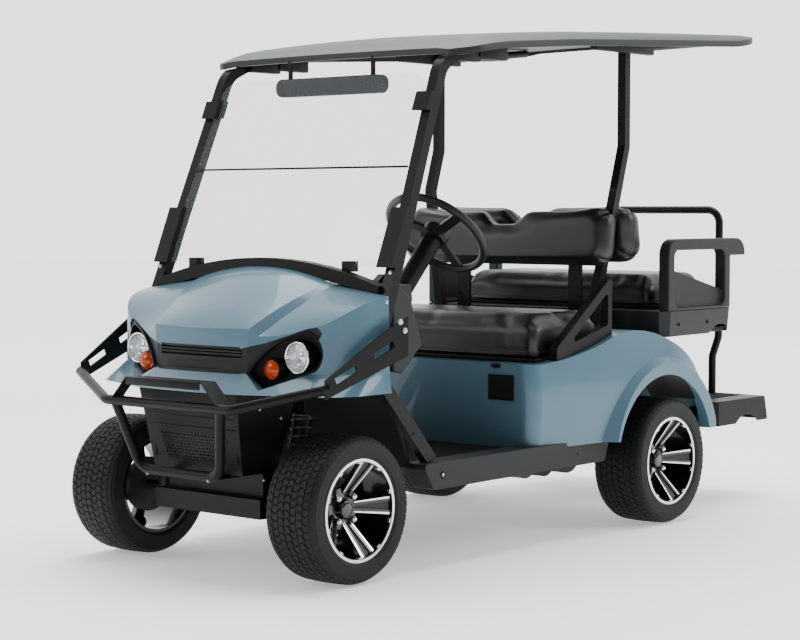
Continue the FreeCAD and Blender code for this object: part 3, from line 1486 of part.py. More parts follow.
def hip_restraint():
    """The left hip restraint: a rounded triangular loop with a thick base, at the end of the bench."""
    low = body_deck_z
    outline = [Vector(0, restraint_front_y, low), Vector(0, restraint_rear_y, low),
               Vector(0, restraint_rear_y, restraint_top_z), Vector(0, restraint_rear_y - restraint_bar, restraint_top_z),
               Vector(0, restraint_front_y, low + restraint_front_height)]
    loop = face_from(outline).extrude(Vector(restraint_width, 0, 0))
    top_edges = [edge for edge in loop.Edges if abs(edge.Length - restraint_width) < rounding
                 and edge.CenterOfMass.z > low + rounding]
    loop = loop.makeFillet(restraint_bar / 2 - rounding, top_edges)
    rear = restraint_rear_y - restraint_bar
    hole = [Vector(-overrun, restraint_front_y + restraint_hole_front, low + restraint_hole_low),
            Vector(-overrun, rear, low + restraint_hole_low + restraint_hole_rise),
            Vector(-overrun, rear, low + restraint_hole_top)]
    room = face_from(hole).extrude(Vector(restraint_width + 2 * overrun, 0, 0))
    room = room.makeFillet(restraint_hole_round, [edge for edge in room.Edges
                                                  if abs(edge.Length - restraint_width - 2 * overrun) < rounding])
    loop = loop.cut(room)
    loop.translate(Vector(restraint_x, 0, 0))
    return loop


def back_brackets():
    """Two flat brackets that carry both seat backs above the body's rear deck."""
    shapes = []
    gap_middle = (bench_back_y + bench_back_depth + rear_back_y) / 2
    for sign in (-1, 1):
        x0 = sign * back_bracket_x - back_bracket_width / 2
        shapes.append(box(x0, x0 + back_bracket_width, gap_middle - back_bracket_thickness / 2,
                          gap_middle + back_bracket_thickness / 2, body_hump_z, bench_back_top - back_bracket_drop))
        shapes.append(box(x0, x0 + back_bracket_width, bench_back_y + bench_back_lean, rear_back_y,
                          bench_back_bottom + back_arm_low, bench_back_bottom + back_arm_low + back_arm_height))
        shapes[-2:] = [fused(shapes[-2:])]
    return Part.makeCompound(shapes)


def rear_tub():
    """The rear seat tub: an open moulded tray with curved cut-outs in its side walls."""
    def plan(z, inset):
        points = [(tub_half_width - inset - tub_corner / 2, tub_front_y + inset), (tub_half_width - inset, tub_front_y + tub_corner),
                  (tub_rear_half - inset, tub_rear_y - tub_corner), (tub_rear_half - inset - tub_corner / 2, tub_rear_y - inset)]
        corners = [Vector(x, y, z) for x, y in symmetric(points)]
        return Part.makePolygon(corners + corners[:1])
    outer = Part.makeLoft([plan(tub_bottom_z, tub_floor), plan(tub_top_z, 0)], True, True)
    inner = Part.makeLoft([plan(tub_bottom_z + tub_floor + body_hump_z - tub_bottom_z, tub_wall + tub_floor),
                           plan(tub_top_z + overrun, tub_wall)], True, True)
    shelf = outer.common(box(-tub_half_width, tub_half_width, tub_front_y, tub_rear_y,
                             tub_top_z - tub_wall, tub_top_z))
    shelf = shelf.cut(box(tub_ledge - rear_bench_half, rear_bench_half - tub_ledge,
                          rear_bench_front_y + tub_ledge, rear_bench_rear_y - tub_ledge, tub_bottom_z, tub_top_z))
    tub = fused([outer.cut(inner), shelf])
    cutter_y = (armrest_post_y + tub_rear_y) / 2 - tub_corner
    cutter = Part.makeCylinder(tub_cut_radius, 2 * cowl_reach,
                               Vector(-cowl_reach, cutter_y, tub_bottom_z - tub_cut_sink), Vector(1, 0, 0))
    side_only = Part.makeCompound([box(tub_rear_half - overrun, 2 * tub_half_width, tub_front_y, tub_rear_y, 0, tub_top_z),
                                   box(-2 * tub_half_width, overrun - tub_rear_half, tub_front_y, tub_rear_y, 0, tub_top_z)])
    return tub.cut(cutter.common(side_only))


def rear_bench():
    """The rear seat bottom: a cushion on its board, over the tub."""
    board = box(-rear_bench_half, rear_bench_half, rear_bench_front_y, rear_bench_rear_y,
                rear_bench_bottom, rear_bench_bottom + bench_board)
    cushion = soft_block(rear_bench_half, rear_bench_front_y, rear_bench_rear_y, rear_bench_bottom + bench_board,
                         rear_bench_top, bench_round)
    return board, cushion


def armrest():
    """The left rear armrest: a moulded loop with a sloping infill panel."""
    low = tub_top_z
    def plate(y0, y1, z0, z1):
        return box(armrest_x - armrest_width / 2, armrest_x + armrest_width / 2, y0, y1, z0, z1)
    outer = plate(armrest_front_y, armrest_rear_y, low, armrest_top_z)
    corner_edges = [edge for edge in outer.Edges if abs(edge.Length - armrest_width) < rounding
                    and edge.CenterOfMass.z > armrest_top_z - rounding]
    outer = outer.makeFillet(armrest_corner, corner_edges)
    window = plate(armrest_front_y + armrest_bar, armrest_post_y, low + armrest_panel, armrest_top_z - armrest_bar)
    window = window.makeFillet(armrest_corner / 2, [edge for edge in window.Edges if abs(edge.Length - armrest_width) < rounding])
    tail = plate(armrest_post_y + armrest_bar, armrest_rear_y + overrun, low - overrun, armrest_top_z - armrest_tail_height)
    loop = outer.cut(window).cut(tail)
    infill = face_from([Vector(armrest_x - armrest_panel / 2, armrest_front_y + armrest_bar / 2, low),
                        Vector(armrest_x - armrest_panel / 2, armrest_post_y + armrest_bar / 2, low),
                        Vector(armrest_x - armrest_panel / 2, armrest_post_y + armrest_bar / 2, low + armrest_infill_rear),
                        Vector(armrest_x - armrest_panel / 2, armrest_front_y + armrest_bar / 2, low + armrest_infill_front)
                        ]).extrude(Vector(armrest_panel, 0, 0))
    return fused([loop, infill])


def rear_supports():
    """Two posts that carry the rear tub on the body's tail frame."""
    rail_top = footplate_top_z - footplate_wall
    shapes = [box(sign * rail_x - support_size / 2, sign * rail_x + support_size / 2,
                  tub_rear_y - support_inset, tub_rear_y - support_inset + support_size, rail_top, tub_bottom_z)
              for sign in (-1, 1)]
    return Part.makeCompound(shapes)


def footplate():
    """The moulded footplate: a tray turned upside down with a flared rear skirt."""
    low_z = footplate_top_z - footplate_skirt
    low = symmetric([(footplate_front_half, footplate_front_y), (footplate_half, footplate_front_y + footplate_corner),
                     (footplate_half, footplate_rear_y + footplate_flare)])
    high = symmetric([(footplate_front_half, footplate_front_y), (footplate_half, footplate_front_y + footplate_corner),
                      (footplate_half, footplate_rear_y)])
    outer = plan_loft(low, low_z, high, footplate_top_z)
    wall = footplate_wall
    in_low = symmetric([(footplate_front_half - wall, footplate_front_y + wall),
                        (footplate_half - wall, footplate_front_y + footplate_corner + wall),
                        (footplate_half - wall, footplate_rear_y + footplate_flare - wall)])
    in_high = symmetric([(footplate_front_half - wall, footplate_front_y + wall),
                         (footplate_half - wall, footplate_front_y + footplate_corner + wall),
                         (footplate_half - wall, footplate_rear_y - wall)])
    shell = outer.cut(plan_loft(in_low, low_z - small_overrun, in_high, footplate_top_z - wall))
    cutter = Part.makeCylinder(tub_cut_radius, 2 * cowl_reach,
                               Vector(-cowl_reach, (footplate_front_y + footplate_rear_y) / 2 + footplate_cut_behind,
                                      low_z - tub_cut_sink), Vector(1, 0, 0))
    shell = shell.cut(cutter)
    rail_room = Part.makeCompound([box(sign * rail_x - rail_width / 2, sign * rail_x + rail_width / 2,
                                       footplate_front_y - overrun, footplate_front_y + overrun, low_z - overrun,
                                       footplate_top_z - wall) for sign in (-1, 1)])
    return shell.cut(rail_room)


def grab_hoop():
    """The rear grab hoop: a tall inverted U with a kink above the footplate."""
    def side(sign):
        x = sign * hoop_half_width
        return [Vector(x - sign * hoop_kink, hoop_y, footplate_top_z), Vector(x - sign * hoop_kink, hoop_y, hoop_kink_low_z),
                Vector(x, hoop_y, hoop_kink_high_z), Vector(x, hoop_y, hoop_top_z)]
    return bent_tube(side(-1) + list(reversed(side(1))), hoop_radius, hoop_bend)


def roof_wire(y, side_z, crown_z, half):
    """A cross-section of the roof: flat-arched top, sloping shoulders, upright edges and a flat underside."""
    shoulder = half * roof_shoulder_share
    edge_top = side_z + roof_edge_depth * (crown_z - side_z) / (crown_z - side_z + roof_wall)
    shoulder_z = crown_z - (crown_z - edge_top) * roof_shoulder_drop_share
    left_shoulder, right_shoulder = Vector(shoulder, y, shoulder_z), Vector(-shoulder, y, shoulder_z)
    left = [Vector(half, y, edge_top), Vector(half, y, side_z)]
    right = [Vector(-half, y, side_z), Vector(-half, y, edge_top)]
    return Part.Wire([
        Part.Arc(right_shoulder, Vector(0, y, crown_z), left_shoulder).toShape(),
        Part.makeLine(left_shoulder, left[0]),
        Part.makeLine(left[0], left[1]),
        Part.makeLine(left[1], right[0]),
        Part.makeLine(right[0], right[1]),
        Part.makeLine(right[1], right_shoulder),
    ])


def roof():
    """The canopy: a crowned shell that rises to the rear, with drooping edges all round."""
    length = roof_rear_y - roof_front_y
    outer = Part.makeLoft([roof_wire(roof_front_y + share * length, side, crown, half)
                           for share, side, crown, half in roof_rows], True, False)
    inner = Part.makeLoft([roof_wire(roof_front_y + share * length, side - overrun, crown - roof_wall, half - roof_wall)
                           for share, side, crown, half in roof_rows[1:-1]], True, False)
    return outer.cut(inner)


def rear_strut():
    """The left rear roof strut, bent inwards behind the seat back to its foot on the body."""
    return bent_bar([Vector(strut_base_x, strut_base_y, strut_base_z + body_hump_z - strut_base_z),
                     Vector(strut_x, strut_low_y, strut_low_z), Vector(strut_x, strut_roof_y, strut_bend_z),
                     Vector(strut_x, strut_roof_y, roof_crown_mid_z)],
                    strut_size, strut_size, overrun, Vector(1, 0, 0))


def assemble():
    """Seat the pieces on each other: each is cut back where a neighbour stands in it."""
    cut_list = (
        ("nose_fascia", ("lamp_bezels",)),
        ("front_cowl", ("pillars",)),
        ("lamp_bezels", ("head_lamps", "turn_lamps")),
        ("guard_plates", ("front_cowl", "lamp_bezels", "brush_guard", "nose_chin", "nose_fascia")),
        ("pillars", ("roof", "sills", "floor_pan")),
        ("mirror", ("roof",)),
        ("windshield_clips", ("windshield", "pillars")),
        ("cowl_trim", ("windshield", "windshield_clips", "pillars", "front_cowl")),
        ("floor_pan", ("steering_column", "chassis_frame")),
        ("dash_panel", ("cowl_trim", "pillars", "front_cowl", "steering_column")),
        ("dash_side_panels", ("pillars", "front_cowl", "dash_panel")),
        ("rear_body", ("sills", "floor_pan", "chassis_frame", "rear_tub")),
        ("arch_liners", ("sills",)),
        ("back_brackets", ("front_seat_back", "rear_seat_back", "body_room")),
        ("hip_restraints", ("body_room",)),
        ("rear_tub", ("rear_supports",)),
        ("roof_struts", ("roof", "body_room")),
        ("armrests", ("rear_tub",)),
    )
    for node, neighbours in cut_list:
        pieces[node] = trimmed(pieces[node], [pieces[name] for name in neighbours])
    del pieces["body_room"]


def main():
    """Build every piece, move the cart onto its origin and write one file per piece."""
    os.makedirs("parts", exist_ok=True)
    wheels()
    pieces["knuckle_left"] = knuckle()
    pieces["knuckle_right"] = mirrored(knuckle())
    rods, rack_height = tie_rods()
    pieces["tie_rods"] = rods
    pieces["front_axle"] = front_axle()
    pieces["chassis_frame"] = fused([chassis_frame(), steering_box(rack_height)])
    beam_top = tyre_radius - knuckle_barrel_height / 2 - fork_gap - fork_thickness + fork_width
    pieces["front_dampers"] = dampers(damper_top_x, 0, beam_top, damper_top_y, damper_top_z)
    pieces["rear_axle"] = rear_axle()
    pieces["drive_motor"] = drive_motor()
    pieces["leaf_springs"] = leaf_springs()
    pieces["steering_wheel"] = steering_wheel()
    pieces["steering_column"] = steering_column()
    pieces["pedals"] = pedals()
    pieces["floor_pan"] = floor_pan()
    pieces["sills"] = pair(sill())
    pieces["front_cowl"] = front_cowl()
    pieces["nose_chin"] = nose_chin()
    pieces["nose_fascia"] = nose_fascia()
    pieces["lamp_bezels"] = pair(lamp_bezel())
    pieces["head_lamps"] = pair(lamp(lamp_x, lamp_z, lamp_radius, lamp_length))
    pieces["turn_lamps"] = pair(lamp(turn_x, turn_z, turn_radius, turn_length))
    pieces["front_grille"] = front_grille()
    pieces["brush_guard"] = brush_guard()
    pieces["guard_plates"] = Part.makeCompound([pair(guard_side_plate()), nose_plate()])
    pieces["pillars"] = pair(fused([pillar(), cowl_brace()]))
    pieces["windshield"] = Part.makeCompound([windshield_pane(glass_bottom_z, glass_seam_z - glass_gap, False),
                                              windshield_pane(glass_seam_z, glass_top_z, True)])
    pieces["windshield_clips"] = Part.makeCompound([pair(clamp(pillar_base_z + overrun * 2, lower_clamp_length)),
                                                    pair(clamp(glass_top_z - upper_clamp_length * 2, upper_clamp_length)),
                                                    pair(hinge_clip())])
    pieces["mirror"] = mirror_housing()
    pieces["cowl_trim"] = cowl_trim()
    pieces["dash_panel"] = dash_panel()
    pieces["dash_side_panels"] = pair(side_panel())
    pieces["rear_body"] = rear_body()
    pieces["body_room"] = body_hull(0)
    pieces["arch_liners"] = pair(arch_liner())
    pieces["service_cover"] = service_cover()
    pieces["bench_board"], pieces["bench_cushion"] = front_bench()
    pieces["front_seat_back"] = seat_back(bench_back_y, bench_back_half, bench_back_depth, bench_back_lean, True)
    pieces["rear_seat_back"] = seat_back(rear_back_y, rear_back_half, rear_back_depth, -bench_back_lean, True)
    pieces["hip_restraints"] = pair(hip_restraint())
    pieces["back_brackets"] = back_brackets()
    pieces["rear_tub"] = rear_tub()
    pieces["rear_board"], pieces["rear_cushion"] = rear_bench()
    pieces["armrests"] = pair(armrest())
    pieces["rear_supports"] = rear_supports()
    pieces["footplate"] = footplate()
    pieces["grab_hoop"] = grab_hoop()
    pieces["roof"] = roof()
    pieces["roof_struts"] = pair(rear_strut())
    battery_y = rail_rise_start - overrun - battery_depth
    rail_top = rail_bottom + rail_height
    pieces["battery_pack"] = box(-battery_width / 2, battery_width / 2, battery_y, battery_y + battery_depth,
                                 rail_top, rail_top + battery_height)
    assemble()
    front_reach = guard_bar_y - guard_tube_radius
    rear_reach = footplate_rear_y + footplate_flare
    middle = (front_reach + rear_reach) / 2
    for node, shape in pieces.items():
        shape.translate(Vector(0, -middle, 0))
        solids = shape.Solids
        print(node, len(solids), shape.isValid(), round(sum(solid.Volume for solid in solids)))
        shape.exportStep(f"parts/{node}.step")


main()
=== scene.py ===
# %% [markdown]
# A golf cart with two benches, dressed around its imported solids. The solids give every size and
# place: this lesson only adds what solids can't show, such as paint, tread, stitching and grain.
# A fixed frame is loaded first. The finished model may not outgrow it.

# %% Load the imported cart
import math

import bmesh
import bpy
from mathutils import Matrix, Vector
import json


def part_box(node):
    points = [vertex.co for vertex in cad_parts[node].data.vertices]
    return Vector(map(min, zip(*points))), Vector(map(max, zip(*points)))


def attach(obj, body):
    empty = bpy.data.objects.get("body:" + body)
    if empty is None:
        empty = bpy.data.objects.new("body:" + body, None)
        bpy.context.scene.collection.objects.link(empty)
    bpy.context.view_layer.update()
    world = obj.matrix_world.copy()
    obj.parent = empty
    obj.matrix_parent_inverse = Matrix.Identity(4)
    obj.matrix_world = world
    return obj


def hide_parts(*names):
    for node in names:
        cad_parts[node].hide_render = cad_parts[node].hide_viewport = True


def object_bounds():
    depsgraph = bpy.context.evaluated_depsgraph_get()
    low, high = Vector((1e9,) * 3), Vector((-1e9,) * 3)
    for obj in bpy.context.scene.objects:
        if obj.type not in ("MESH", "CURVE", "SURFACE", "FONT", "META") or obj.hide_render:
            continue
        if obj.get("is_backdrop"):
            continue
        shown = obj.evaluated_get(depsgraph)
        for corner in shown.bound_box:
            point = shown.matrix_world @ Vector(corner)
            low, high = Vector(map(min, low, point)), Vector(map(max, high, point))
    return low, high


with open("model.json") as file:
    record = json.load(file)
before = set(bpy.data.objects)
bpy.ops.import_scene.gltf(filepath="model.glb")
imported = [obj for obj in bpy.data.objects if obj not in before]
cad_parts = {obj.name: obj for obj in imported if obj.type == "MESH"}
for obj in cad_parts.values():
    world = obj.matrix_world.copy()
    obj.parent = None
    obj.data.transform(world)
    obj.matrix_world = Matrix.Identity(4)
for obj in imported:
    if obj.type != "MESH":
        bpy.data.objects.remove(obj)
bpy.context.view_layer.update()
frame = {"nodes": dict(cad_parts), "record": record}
nodes = frame["nodes"]

# %% [markdown]
# The photograph was taken from the front left, a little above the bonnet, with a long lens, so
# the cart's lines hardly converge. The camera comes first because each piece is judged through it.

# %% Camera
def placed(name, data):
    """An object that carries a mesh, a lamp or a camera, linked to the scene."""
    thing = bpy.data.objects.new(name, data)
    bpy.context.scene.collection.objects.link(thing)
    return thing


camera_place = Vector((4.585, -5.731, 1.169))
camera_turn = 40.15
camera_drop = 3.2
camera_data = bpy.data.cameras.new("photo_camera")
camera_data.lens = 89.4
camera_data.sensor_width = 36
camera = placed("photo_camera", camera_data)
camera.location = camera_place
camera.rotation_euler = (math.radians(90 - camera_drop), 0, math.radians(camera_turn))
bpy.context.scene.camera = camera
print("camera stands", round(camera_place.length, 2), "m away")

# %% [markdown]
# The cart stands in a white studio. One plane serves as floor, large enough to fade into the
# white surroundings: far from the cart it glows a little, so that no horizon shows. Three broad
# soft lamps take the place of the studio's ceiling panels.

# %% Floor and light
floor_size = 60
floor_white = (0.97, 0.97, 0.97, 1)
glow_starts, glow_ends = 2.5, 9.0
glow_near, glow_far = 0.45, 1.35


def dial(node, values):
    """Sets the sockets of a shader node by their names."""
    for socket, value in values.items():
        node.inputs[socket].default_value = value


def eased(tree, source, starts, ends, low, high):
    """A shader value that eases from low to high while its source goes from starts to ends."""
    ramp = tree.nodes.new("ShaderNodeMapRange")
    ramp.interpolation_type = "SMOOTHSTEP"
    dial(ramp, {"From Min": starts, "From Max": ends, "To Min": low, "To Max": high})
    tree.links.new(source, ramp.inputs["Value"])
    return ramp.outputs["Result"]


def new_paint(name):
    """A new material, its node tree and its Principled shader."""
    material = bpy.data.materials.new(name)
    material.use_nodes = True
    tree = material.node_tree
    return material, tree, tree.nodes["Principled BSDF"]


def studio_sheet(name, size):
    """A square floor for the studio, not part of the cart."""
    mesh = bpy.data.meshes.new(name)
    work = bmesh.new()
    bmesh.ops.create_grid(work, x_segments=1, y_segments=1, size=size / 2)
    work.to_mesh(mesh)
    work.free()
    sheet = placed(name, mesh)
    sheet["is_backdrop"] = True
    return sheet


def studio_white():
    """White paint that glows more the farther it lies from the cart."""
    paint, tree, shader = new_paint("studio_white")
    dial(shader, {"Base Color": floor_white, "Roughness": 0.85, "Emission Color": floor_white})
    place = tree.nodes.new("ShaderNodeTexCoord")
    reach = tree.nodes.new("ShaderNodeVectorMath")
    reach.operation = "LENGTH"
    tree.links.new(place.outputs["Object"], reach.inputs[0])
    glow = eased(tree, reach.outputs["Value"], glow_starts, glow_ends, glow_near, glow_far)
    tree.links.new(glow, shader.inputs["Emission Strength"])
    return paint


studio_floor = studio_sheet("studio_floor", floor_size)
studio_floor.data.materials.append(studio_white())


def soft_lamp(name, place, aim, width, power):
    """A square area lamp that looks at a point."""
    data = bpy.data.lights.new(name, "AREA")
    data.shape = "SQUARE"
    data.size = width
    data.energy = power
    lamp = placed(name, data)
    lamp.location = place
    lamp.rotation_euler = (Vector(aim) - Vector(place)).to_track_quat("-Z", "Y").to_euler()


cart_middle = (0, 0, 0.8)
soft_lamp("ceiling_panel", (-0.5, 0.8, 6.0), cart_middle, 5.0, 560)
soft_lamp("side_panel", (5.5, 3.5, 4.2), cart_middle, 2.5, 190)
soft_lamp("front_panel", (-4.0, -6.0, 4.0), cart_middle, 2.5, 130)

# %% [markdown]
# White light from every side would wash the black parts out. As in a photographer's studio, the
# far wall is the bright one and the near side is dimmer: the world's strength follows direction.

# %% World
far_wall = (-0.645, 0.764, 0.0)
wall_dims, wall_full = -0.1, 0.75
dim_side, bright_side = 0.36, 2.4
world = bpy.data.worlds.new("studio")
bpy.context.scene.world = world
world.use_nodes = True
tree = world.node_tree
heading = tree.nodes.new("ShaderNodeTexCoord")
facing = tree.nodes.new("ShaderNodeVectorMath")
facing.operation = "DOT_PRODUCT"
facing.inputs[1].default_value = far_wall
tree.links.new(heading.outputs["Generated"], facing.inputs[0])
level = eased(tree, facing.outputs["Value"], wall_dims, wall_full, dim_side, bright_side)
tree.links.new(level, tree.nodes["Background"].inputs["Strength"])
dial(tree.nodes["Background"], {"Color": (1, 1, 1, 1)})
print("the world is brightest towards", far_wall)

# %% [markdown]
# Every finish on the cart is one Principled shader with a little procedural grain. A helper keeps
# them alike: a noise pattern, read in Object coordinates so that it stays on the piece, varies the
# colour and the roughness slightly, and a second, finer one raises a bump.

# %% A helper for finishes
def finish(name, colour, rough, metal=0.0, coat=0.0, grain=400, bump=0.0, vary=0.08, cells=False,
           shine=0.5, uneven=0.12):
    """A Principled material with fine grain. grain is in cells per metre."""
    material, tree, shader = new_paint(name)
    dial(shader, {"Metallic": metal, "Coat Weight": coat, "Coat Roughness": 0.04,
                  "Specular IOR Level": shine})
    place = tree.nodes.new("ShaderNodeTexCoord")
    clouds = tree.nodes.new("ShaderNodeTexNoise")
    dial(clouds, {"Scale": 7, "Detail": 5})
    tree.links.new(place.outputs["Object"], clouds.inputs["Vector"])
    tint = tree.nodes.new("ShaderNodeMix")
    tint.data_type = "RGBA"
    dial(tint, {"A": (*[part * (1 - vary) for part in colour], 1),
                "B": (*[min(1, part * (1 + vary)) for part in colour], 1)})
    tree.links.new(clouds.outputs["Fac"], tint.inputs["Factor"])
    tree.links.new(tint.outputs["Result"], shader.inputs["Base Color"])
    spread = tree.nodes.new("ShaderNodeMapRange")
    dial(spread, {"To Min": max(0.02, rough * (1 - uneven)), "To Max": min(1, rough * (1 + uneven))})
    tree.links.new(clouds.outputs["Fac"], spread.inputs["Value"])
    tree.links.new(spread.outputs["Result"], shader.inputs["Roughness"])
    if bump:
        kind = "ShaderNodeTexVoronoi" if cells else "ShaderNodeTexNoise"
        pattern = tree.nodes.new(kind)
        dial(pattern, {"Scale": grain})
        tree.links.new(place.outputs["Object"], pattern.inputs["Vector"])
        relief = tree.nodes.new("ShaderNodeBump")
        dial(relief, {"Strength": bump, "Distance": 0.0006})
        tree.links.new(pattern.outputs["Distance" if cells else "Fac"], relief.inputs["Height"])
        tree.links.new(relief.outputs["Normal"], shader.inputs["Normal"])
    return material


print("finish helper ready")

# %% [markdown]
# Moulded and painted finishes. The body is a slate blue gloss with a clear coat, the frame is black
# powder coat with a fine orange peel, and the plastics are greyer and rougher the more they are
# trodden on. One name per slot of the record ties each solid to its finish.

# %% The cart's opaque finishes
finishes = {
    "blue_body": finish("slate_blue_gloss", (0.080, 0.158, 0.212), 0.34, metal=0.15, coat=0.30, grain=1600,
                        bump=0.02, vary=0.012, shine=0.22, uneven=0.0),
    "frame_steel": finish("black_powder_coat", (0.0045, 0.0045, 0.005), 0.38, coat=0.05, grain=1400,
                          bump=0.25, shine=0.13),
    "cast_steel": finish("bare_casting", (0.04, 0.04, 0.042), 0.55, metal=0.7, grain=500, bump=0.5, vary=0.2),
    "steel": finish("bright_steel", (0.6, 0.6, 0.61), 0.28, metal=1.0, grain=700, bump=0.1),
    "motor_paint": finish("motor_enamel", (0.02, 0.02, 0.021), 0.4, coat=0.2, grain=600, bump=0.2, shine=0.3),
    "soft_black": finish("wheel_rubber", (0.008, 0.008, 0.0085), 0.45, grain=1500, bump=0.3, shine=0.35),
    "black_plastic": finish("black_moulding", (0.005, 0.005, 0.0055), 0.45, grain=1200, bump=0.25,
                            shine=0.14),
    "grey_plastic": finish("charcoal_moulding", (0.014, 0.0165, 0.0175), 0.5, grain=1200, bump=0.3,
                           shine=0.22),
    "floor_mat": finish("floor_rubber", (0.012, 0.012, 0.013), 0.7, grain=250, bump=0.8, shine=0.25),
    "tyre": finish("tyre_rubber", (0.008, 0.0085, 0.009), 0.62, grain=600, bump=0.4, vary=0.15, shine=0.25),
    "black_rim": finish("black_wheel_paint", (0.004, 0.004, 0.0045), 0.16, coat=0.6, grain=800, bump=0.02,
                        shine=0.4),
    "black_vinyl": finish("black_vinyl", (0.006, 0.006, 0.0065), 0.36, grain=1500, bump=0.2, vary=0.1,
                          cells=True),
    "roof_plastic": finish("roof_moulding", (0.017, 0.0205, 0.0205), 0.46, grain=900, bump=0.2, vary=0.03,
                           shine=0.26, uneven=0.03),
    "battery_case": finish("battery_case", (0.012, 0.012, 0.013), 0.5, shine=0.3),
}
print("opaque finishes:", len(finishes))


# %% Glass, lamp and lens finishes
def clear(name, colour, rough, transmission, alpha):
    """A glassy material whose numbers sit on the shader's own sockets."""
    material, _, shader = new_paint(name)
    dial(shader, {"Base Color": (*colour, 1), "Roughness": rough, "Transmission Weight": transmission,
                  "IOR": 1.45, "Alpha": alpha})
    return material


finishes["lamp_glass"] = clear("lamp_glass", (0.75, 0.78, 0.80), 0.03, 0.0, 0.14)
finishes["amber_lens"] = clear("amber_lens", (0.85, 0.10, 0.0), 0.06, 0.75, 0.9)
finishes["clear_pane"] = clear("clear_pane", (0.30, 0.33, 0.34), 0.02, 0.0, 0.085)
finishes["mirror"] = finish("mirror_silver", (0.8, 0.8, 0.82), 0.05, metal=1.0)

slot_of = {part["node"]: part["material_slot"] for part in frame["record"]["subparts"]}
for node, thing in nodes.items():
    for slot in thing.material_slots:
        slot.material = finishes[slot_of[node]]
print("dressed solids:", len(slot_of))

# %% [markdown]
# New pieces start as a bmesh, Blender's editable mesh in memory. The source of the solids counts in
# millimetres from the front axle, so a small helper turns such a place into metres in the shared
# frame. Another one closes a bmesh into an object: it turns the faces outwards, smooths all but the
# crisp edges, gives it a finish and lets it ride on one of the cart's bodies.

# %% Places and pieces
axle_station = -1.136
wheelbase = 1671
origin, axle_way = (0, 0, 0), (1, 0, 0)


def at(x, y, z):
    """A place in metres from millimetres across, behind the front axle and above the ground."""
    return Vector((x / 1000, y / 1000 + axle_station, z / 1000))


def keep(name, work, slot, paint=None, crisp=30, body="chassis", outwards=True):
    """Closes a bmesh into a piece of the cart, in its slot's own finish or in another paint.

    Edges sharper than crisp, in degrees, stay sharp."""
    if outwards:
        bmesh.ops.recalc_face_normals(work, faces=work.faces)
    mesh = bpy.data.meshes.new(name)
    work.to_mesh(mesh)
    work.free()
    mesh.shade_smooth()
    mesh.set_sharp_from_angle(angle=math.radians(crisp))
    mesh.materials.append(finishes[paint or slot])
    thing = placed(name, mesh)
    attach(thing, body)
    return thing


print("front axle at", axle_station)


# %% Blocks, rods and rings
def round_edges(work, edges, radius):
    """Gives edges of a bmesh a narrow bevel."""
    bmesh.ops.bevel(work, geom=list(edges), offset=radius, segments=2, profile=0.5, affect="EDGES",
                    material=-1, clamp_overlap=True)


def add_block(work, low, high, round_by=0.0):
    """A box between two corners, with rounded edges."""
    low, high = Vector(low), Vector(high)
    size = high - low
    matrix = Matrix.Translation((low + high) / 2) @ Matrix.Diagonal((*size, 1))
    corners = bmesh.ops.create_cube(work, size=1, matrix=matrix)["verts"]
    if round_by:
        round_edges(work, {edge for corner in corners for edge in corner.link_edges}, round_by)


def along(start, end):
    """The turn that points a shape's own Z from one place to another."""
    return (Vector(end) - Vector(start)).to_track_quat("Z", "Y").to_matrix().to_4x4()


def add_rod(work, start, end, radius, tip=None, sides=20, round_by=0.0):
    """A round or many-sided bar between two places."""
    start, end = Vector(start), Vector(end)
    length = (end - start).length
    matrix = Matrix.Translation((start + end) / 2) @ along(start, end)
    made = bmesh.ops.create_cone(work, cap_ends=True, segments=sides, radius1=radius,
                                 radius2=radius if tip is None else tip, depth=length, matrix=matrix)["verts"]
    if round_by:
        caps = {face for vert in made for face in vert.link_faces if len(face.verts) == sides}
        round_edges(work, {edge for face in caps for edge in face.edges}, round_by)


def add_ring(work, centre, axis, radius, tube, sides=12, steps=64):
    """A torus: a small circle spun once about an axis."""
    axis = Vector(axis).normalized()
    out = axis.orthogonal().normalized()
    basis = Matrix((out, axis, out.cross(axis))).transposed().to_4x4()
    matrix = Matrix.Translation(Vector(centre) + out * radius) @ basis
    made = bmesh.ops.create_circle(work, segments=sides, radius=tube, matrix=matrix)["verts"]
    edges = list({edge for vert in made for edge in vert.link_edges})
    bmesh.ops.spin(work, geom=made + edges, cent=Vector(centre), axis=axis, angle=2 * math.pi,
                   steps=steps, use_merge=True)


def add_turned(work, centre, axis, profile, steps=48):
    """A turned shape: a profile of (distance along the axis, radius) spun once about it."""
    axis = Vector(axis).normalized()
    out = axis.orthogonal().normalized()
    verts = [work.verts.new(Vector(centre) + axis * run + out * radius) for run, radius in profile]
    edges = [work.edges.new(both) for both in zip(verts, verts[1:])]
    bmesh.ops.spin(work, geom=verts + edges, cent=Vector(centre), axis=axis, angle=2 * math.pi,
                   steps=steps, use_merge=True)
    bmesh.ops.remove_doubles(work, verts=list(work.verts), dist=1e-6)


def add_bolt(work, place, out, size):
    """A washer and a six-sided head that stand on a surface."""
    place, out = Vector(place), Vector(out).normalized()
    add_rod(work, place - out * size * 0.3, place + out * size * 0.25, size * 1.3, sides=20)
    add_rod(work, place + out * size * 0.2, place + out * size * 0.95, size * 0.9, sides=6,
            round_by=size * 0.1)


print("shape helpers ready")
